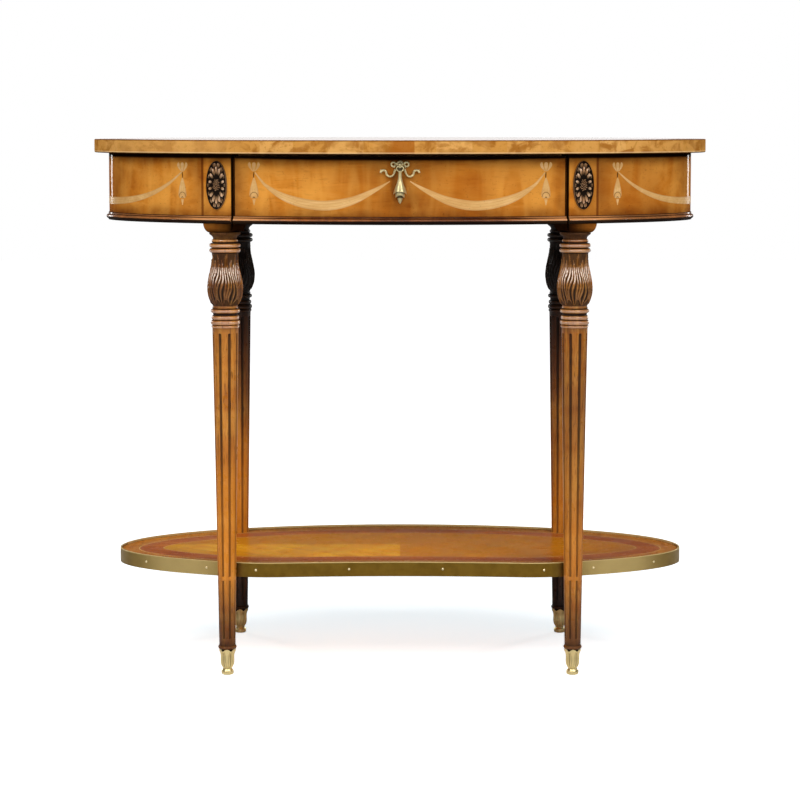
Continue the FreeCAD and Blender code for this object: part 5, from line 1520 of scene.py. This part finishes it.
def makeBow(sizes):
    bm, dirtAndShading = newShape()
    level, face = sizes["level"], sizes["face"]
    for ribbon in sizes["ribbons"]:
        tube(bm, sizes, *ribbon)
    bmesh.ops.mirror(bm, geom=bm.verts[:] + bm.edges[:] + bm.faces[:], axis="X", merge_dist=0.0)
    # painted shade on the backs of the ribbons
    for vert in bm.verts:
        vert[dirtAndShading] = sizes["ribbonShading"] if vert.co.y > sizes["ribbonBack"] else 0.0
    bmesh.ops.translate(bm, vec=(0, face - sizes["ribbonOut"], level), verts=bm.verts)
    # base behind the eye, and the hook that the eye hangs on
    before = set(bm.verts)
    spinProfile(bm, sizes["peg"], sizes["pegSteps"])
    turned = freshVerts(bm, before)
    # painted shade on the base behind the eye
    for vert in turned:
        vert[dirtAndShading] = sizes["pegShading"]
    bmesh.ops.rotate(bm, cent=(0, 0, 0), matrix=Matrix.Rotation(math.pi / 2, 3, "X"), verts=turned)
    bmesh.ops.translate(bm, vec=(0, face, level - sizes["pegDrop"]), verts=turned)
    makeHood(bm, dirtAndShading, sizes)
    ballSpot = Matrix.Translation((0, face - sizes["ballOut"], level + sizes["ballLift"]))
    bmesh.ops.create_uvsphere(bm, u_segments=16, v_segments=12, radius=sizes["ball"], matrix=ballSpot)
    closeUp(bm)
    return finishPiece("pull_bow_cast", bm, [castBrass], "drawer", ["pull_bow"])


def chaseDrop(bm, dirtAndShading, sizes):
    for vert in bm.verts:
        z = vert.co.z
        away = Vector((vert.co.x, vert.co.y - sizes["pivot"], 0))
        if away.length < sizes["core"]:
            continue
        turn = math.degrees(math.atan2(away.x, -away.y))
        if away.length > sizes["archFrom"] and z < sizes["archRun"][0]:
            lean = abs(math.cos(math.radians(turn))) ** sizes["archCurve"] - sizes["archMiddle"]
            vert.co.z += sizes["arch"] * ramp(z, *sizes["archRun"]) * lean
        if z > sizes["seamAbove"]:
            seam = hump((turn + 90) % 180 - 90, 0.0, sizes["seamWide"])
            seam += sizes["sideSeam"] * hump(abs(turn), sizes["sideTurn"], sizes["sideWide"])
            seam *= ramp(z, *sizes["seamRun"])
            vert.co -= away.normalized() * (sizes["seam"] * seam)
            vert[dirtAndShading] = max(vert[dirtAndShading], sizes["seamDirt"] * seam)


def wireEye(bm, sizes):
    before = set(bm.verts)
    seat = Matrix.Translation((sizes["eyeWide"], 0, 0)) @ Matrix.Rotation(math.pi / 2, 4, "X")
    ring = bmesh.ops.create_circle(bm, radius=sizes["wire"], segments=10, matrix=seat)["verts"]
    edges = list({edge for vert in ring for edge in vert.link_edges})
    bmesh.ops.spin(bm, geom=ring + edges, cent=(0, 0, 0), axis=upright, angle=math.tau, steps=36, use_merge=True)
    eye = freshVerts(bm, before)
    bmesh.ops.rotate(bm, cent=(0, 0, 0), matrix=Matrix.Rotation(math.pi / 2, 3, "X"), verts=eye)
    bmesh.ops.scale(bm, vec=(1, 1, sizes["eyeHigh"] / sizes["eyeWide"]), verts=eye)
    bmesh.ops.translate(bm, vec=(0, sizes["pivot"], sizes["eyeLevel"]), verts=eye)


def makeDrop(sizes):
    bm, dirtAndShading = newShape()
    axis = (0, sizes["pivot"])
    husk = [sizes["head"]] + throughPoints(sizes["husk"], 4)
    huskShading = [0.0] * len(husk) + [sizes["insideShading"]] * len(sizes["huskInside"])
    spinProfile(bm, husk + sizes["huskInside"], sizes["steps"], axis, huskShading)
    spinProfile(bm, sizes["tier"], sizes["steps"], axis, sizes["tierShading"])
    spinProfile(bm, throughPoints(sizes["bud"], 3), sizes["budSteps"], axis, sizes["budShading"])
    chaseDrop(bm, dirtAndShading, sizes)
    wireEye(bm, sizes)
    closeUp(bm)
    return finishPiece("pull_drop_cast", bm, [castBrass], "drop", ["pull_drop"])


makeBow(bowSizes)
makeDrop(dropSizes)
print("pull cast")


# finishes on the nodes that keep their own shape

for name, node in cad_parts.items():
    if node.hide_render:
        continue
    node.data.materials.clear()
    node.data.materials.append(castBrass if name == "pull_screw" else innerWood)
print("inside woods finished")


# floor, light and camera

floorLook = {"size": 9.0, "dust": 3.0, "stops": (0.3, 0.7), "greys": (0.93, 0.96), "rough": 0.7, "shine": 0.2,
             "near": (0.62, 0.69, 0.725, 1), "far": (1, 1, 1, 1), "fade": (0.5, 1.3)}


def floorFinish(look):
    finish, tree, shader = newFinish("paleFloor")
    dust = noise(tree, placeOf(tree), look["dust"], detail=3.0)
    greys = [(grey, grey, grey, 1) for grey in look["greys"]]
    body = toneRamp(tree, dust, look["stops"], greys)
    # the camera sees it paler than it lights, fading to pure white away from the table
    reach = addNode(tree, "ShaderNodeVectorMath", {0: placeOf(tree)}, operation="LENGTH").outputs["Value"]
    paleness = blendTones(tree, spread(tree, reach, *look["fade"]), look["near"], look["far"])
    direct = addNode(tree, "ShaderNodeLightPath").outputs["Is Camera Ray"]
    fillInputs(tree, shader, {"Base Color": body, "Roughness": look["rough"], "Specular IOR Level": look["shine"],
                              "Emission Color": blendTones(tree, direct, (0, 0, 0, 1), paleness),
                              "Emission Strength": 1.0})
    return finish


bm = bmesh.new()
bmesh.ops.create_grid(bm, x_segments=1, y_segments=1, size=floorLook["size"])
floor = newObject("floor", meshOf(bm, "floor"))
floor.data.materials.append(floorFinish(floorLook))

# the rear pair draws a line of light down each round end of the apron; backGlow shows only in the top
lightSet = [
    {"name": "leftBox", "spot": (-1.9, -2.1, 2.4), "aim": (0, 0, 0.45), "size": (1.4, 1.2), "power": 38},
    {"name": "rightBox", "spot": (1.9, -2.1, 2.4), "aim": (0, 0, 0.45), "size": (1.4, 1.2), "power": 42},
    {"name": "overBox", "spot": (0, -1.5, 2.8), "aim": (0, 0, 0.2), "size": (2.4, 0.8), "power": 26},
    {"name": "frontLow", "spot": (0.0, -3.6, 0.9), "aim": (0, 0, 0.3), "size": (2.4, 0.8), "power": 10},
    {"name": "frontStrip", "spot": (0.0, -2.6, 2.0), "aim": (0, 0, 0.6), "size": (3.0, 0.2), "power": 8},
    {"name": "leftRear", "spot": (-2.2, 2.4, 1.0), "aim": (0, 0, 0.45), "size": (0.36, 1.2), "power": 17},
    {"name": "rightRear", "spot": (2.2, 2.4, 1.0), "aim": (0, 0, 0.45), "size": (0.36, 1.2), "power": 17},
    {"name": "backGlow", "spot": (0.0, 4.5, 0.765), "aim": (0, 0, 0.765), "size": (7.0, 0.08), "power": 1.75},
    {"name": "leftSpark", "spot": (-2.2, -1.0, 1.3), "aim": (0, 0, 0.5), "size": (0.14, 0.14), "power": 3},
    {"name": "rightSpark", "spot": (2.2, -1.0, 1.3), "aim": (0, 0, 0.5), "size": (0.14, 0.14), "power": 3},
]
for item in lightSet:
    lamp = bpy.data.lights.new(item["name"], "AREA")
    lamp.shape = "RECTANGLE"
    lamp.size, lamp.size_y = item["size"]
    lamp.energy = item["power"]
    holder = newObject(item["name"], lamp)
    holder.location = item["spot"]
    holder.visible_camera = False
    holder.rotation_euler = (Vector(item["aim"]) - Vector(item["spot"])).to_track_quat("-Z", "Y").to_euler()

# the camera sees white, the table gets only a little of it
studioLight = {"colour": (1, 1, 1, 1), "seen": 1.0, "fill": 0.1}
world = bpy.data.worlds.new("studio")
world.use_nodes = True
tree = world.node_tree
tree.nodes.clear()
white = studioLight["colour"]
seen, fill = (addNode(tree, "ShaderNodeBackground", {"Color": white, "Strength": studioLight[key]}).outputs[0]
              for key in ("seen", "fill"))
direct = addNode(tree, "ShaderNodeLightPath").outputs["Is Camera Ray"]
mixed = addNode(tree, "ShaderNodeMixShader", {0: direct, 1: fill, 2: seen})
addNode(tree, "ShaderNodeOutputWorld", {"Surface": mixed.outputs[0]})
bpy.context.scene.world = world

cameraSizes = {"lens": 111.85, "sensor": 36.0, "shift": -0.075, "far": 50, "spot": (0.0, -3.4, 0.74907),
               "down": 5.27}
lens = bpy.data.cameras.new("camera")
lens.lens, lens.sensor_width = cameraSizes["lens"], cameraSizes["sensor"]
lens.shift_y = cameraSizes["shift"]
lens.clip_end = cameraSizes["far"]
camera = newObject("camera", lens)
camera.location = cameraSizes["spot"]
camera.rotation_euler = (math.radians(90 - cameraSizes["down"]), 0, 0)
bpy.context.scene.camera = camera
bpy.context.scene.view_settings.view_transform = "Standard"
print("stage set")
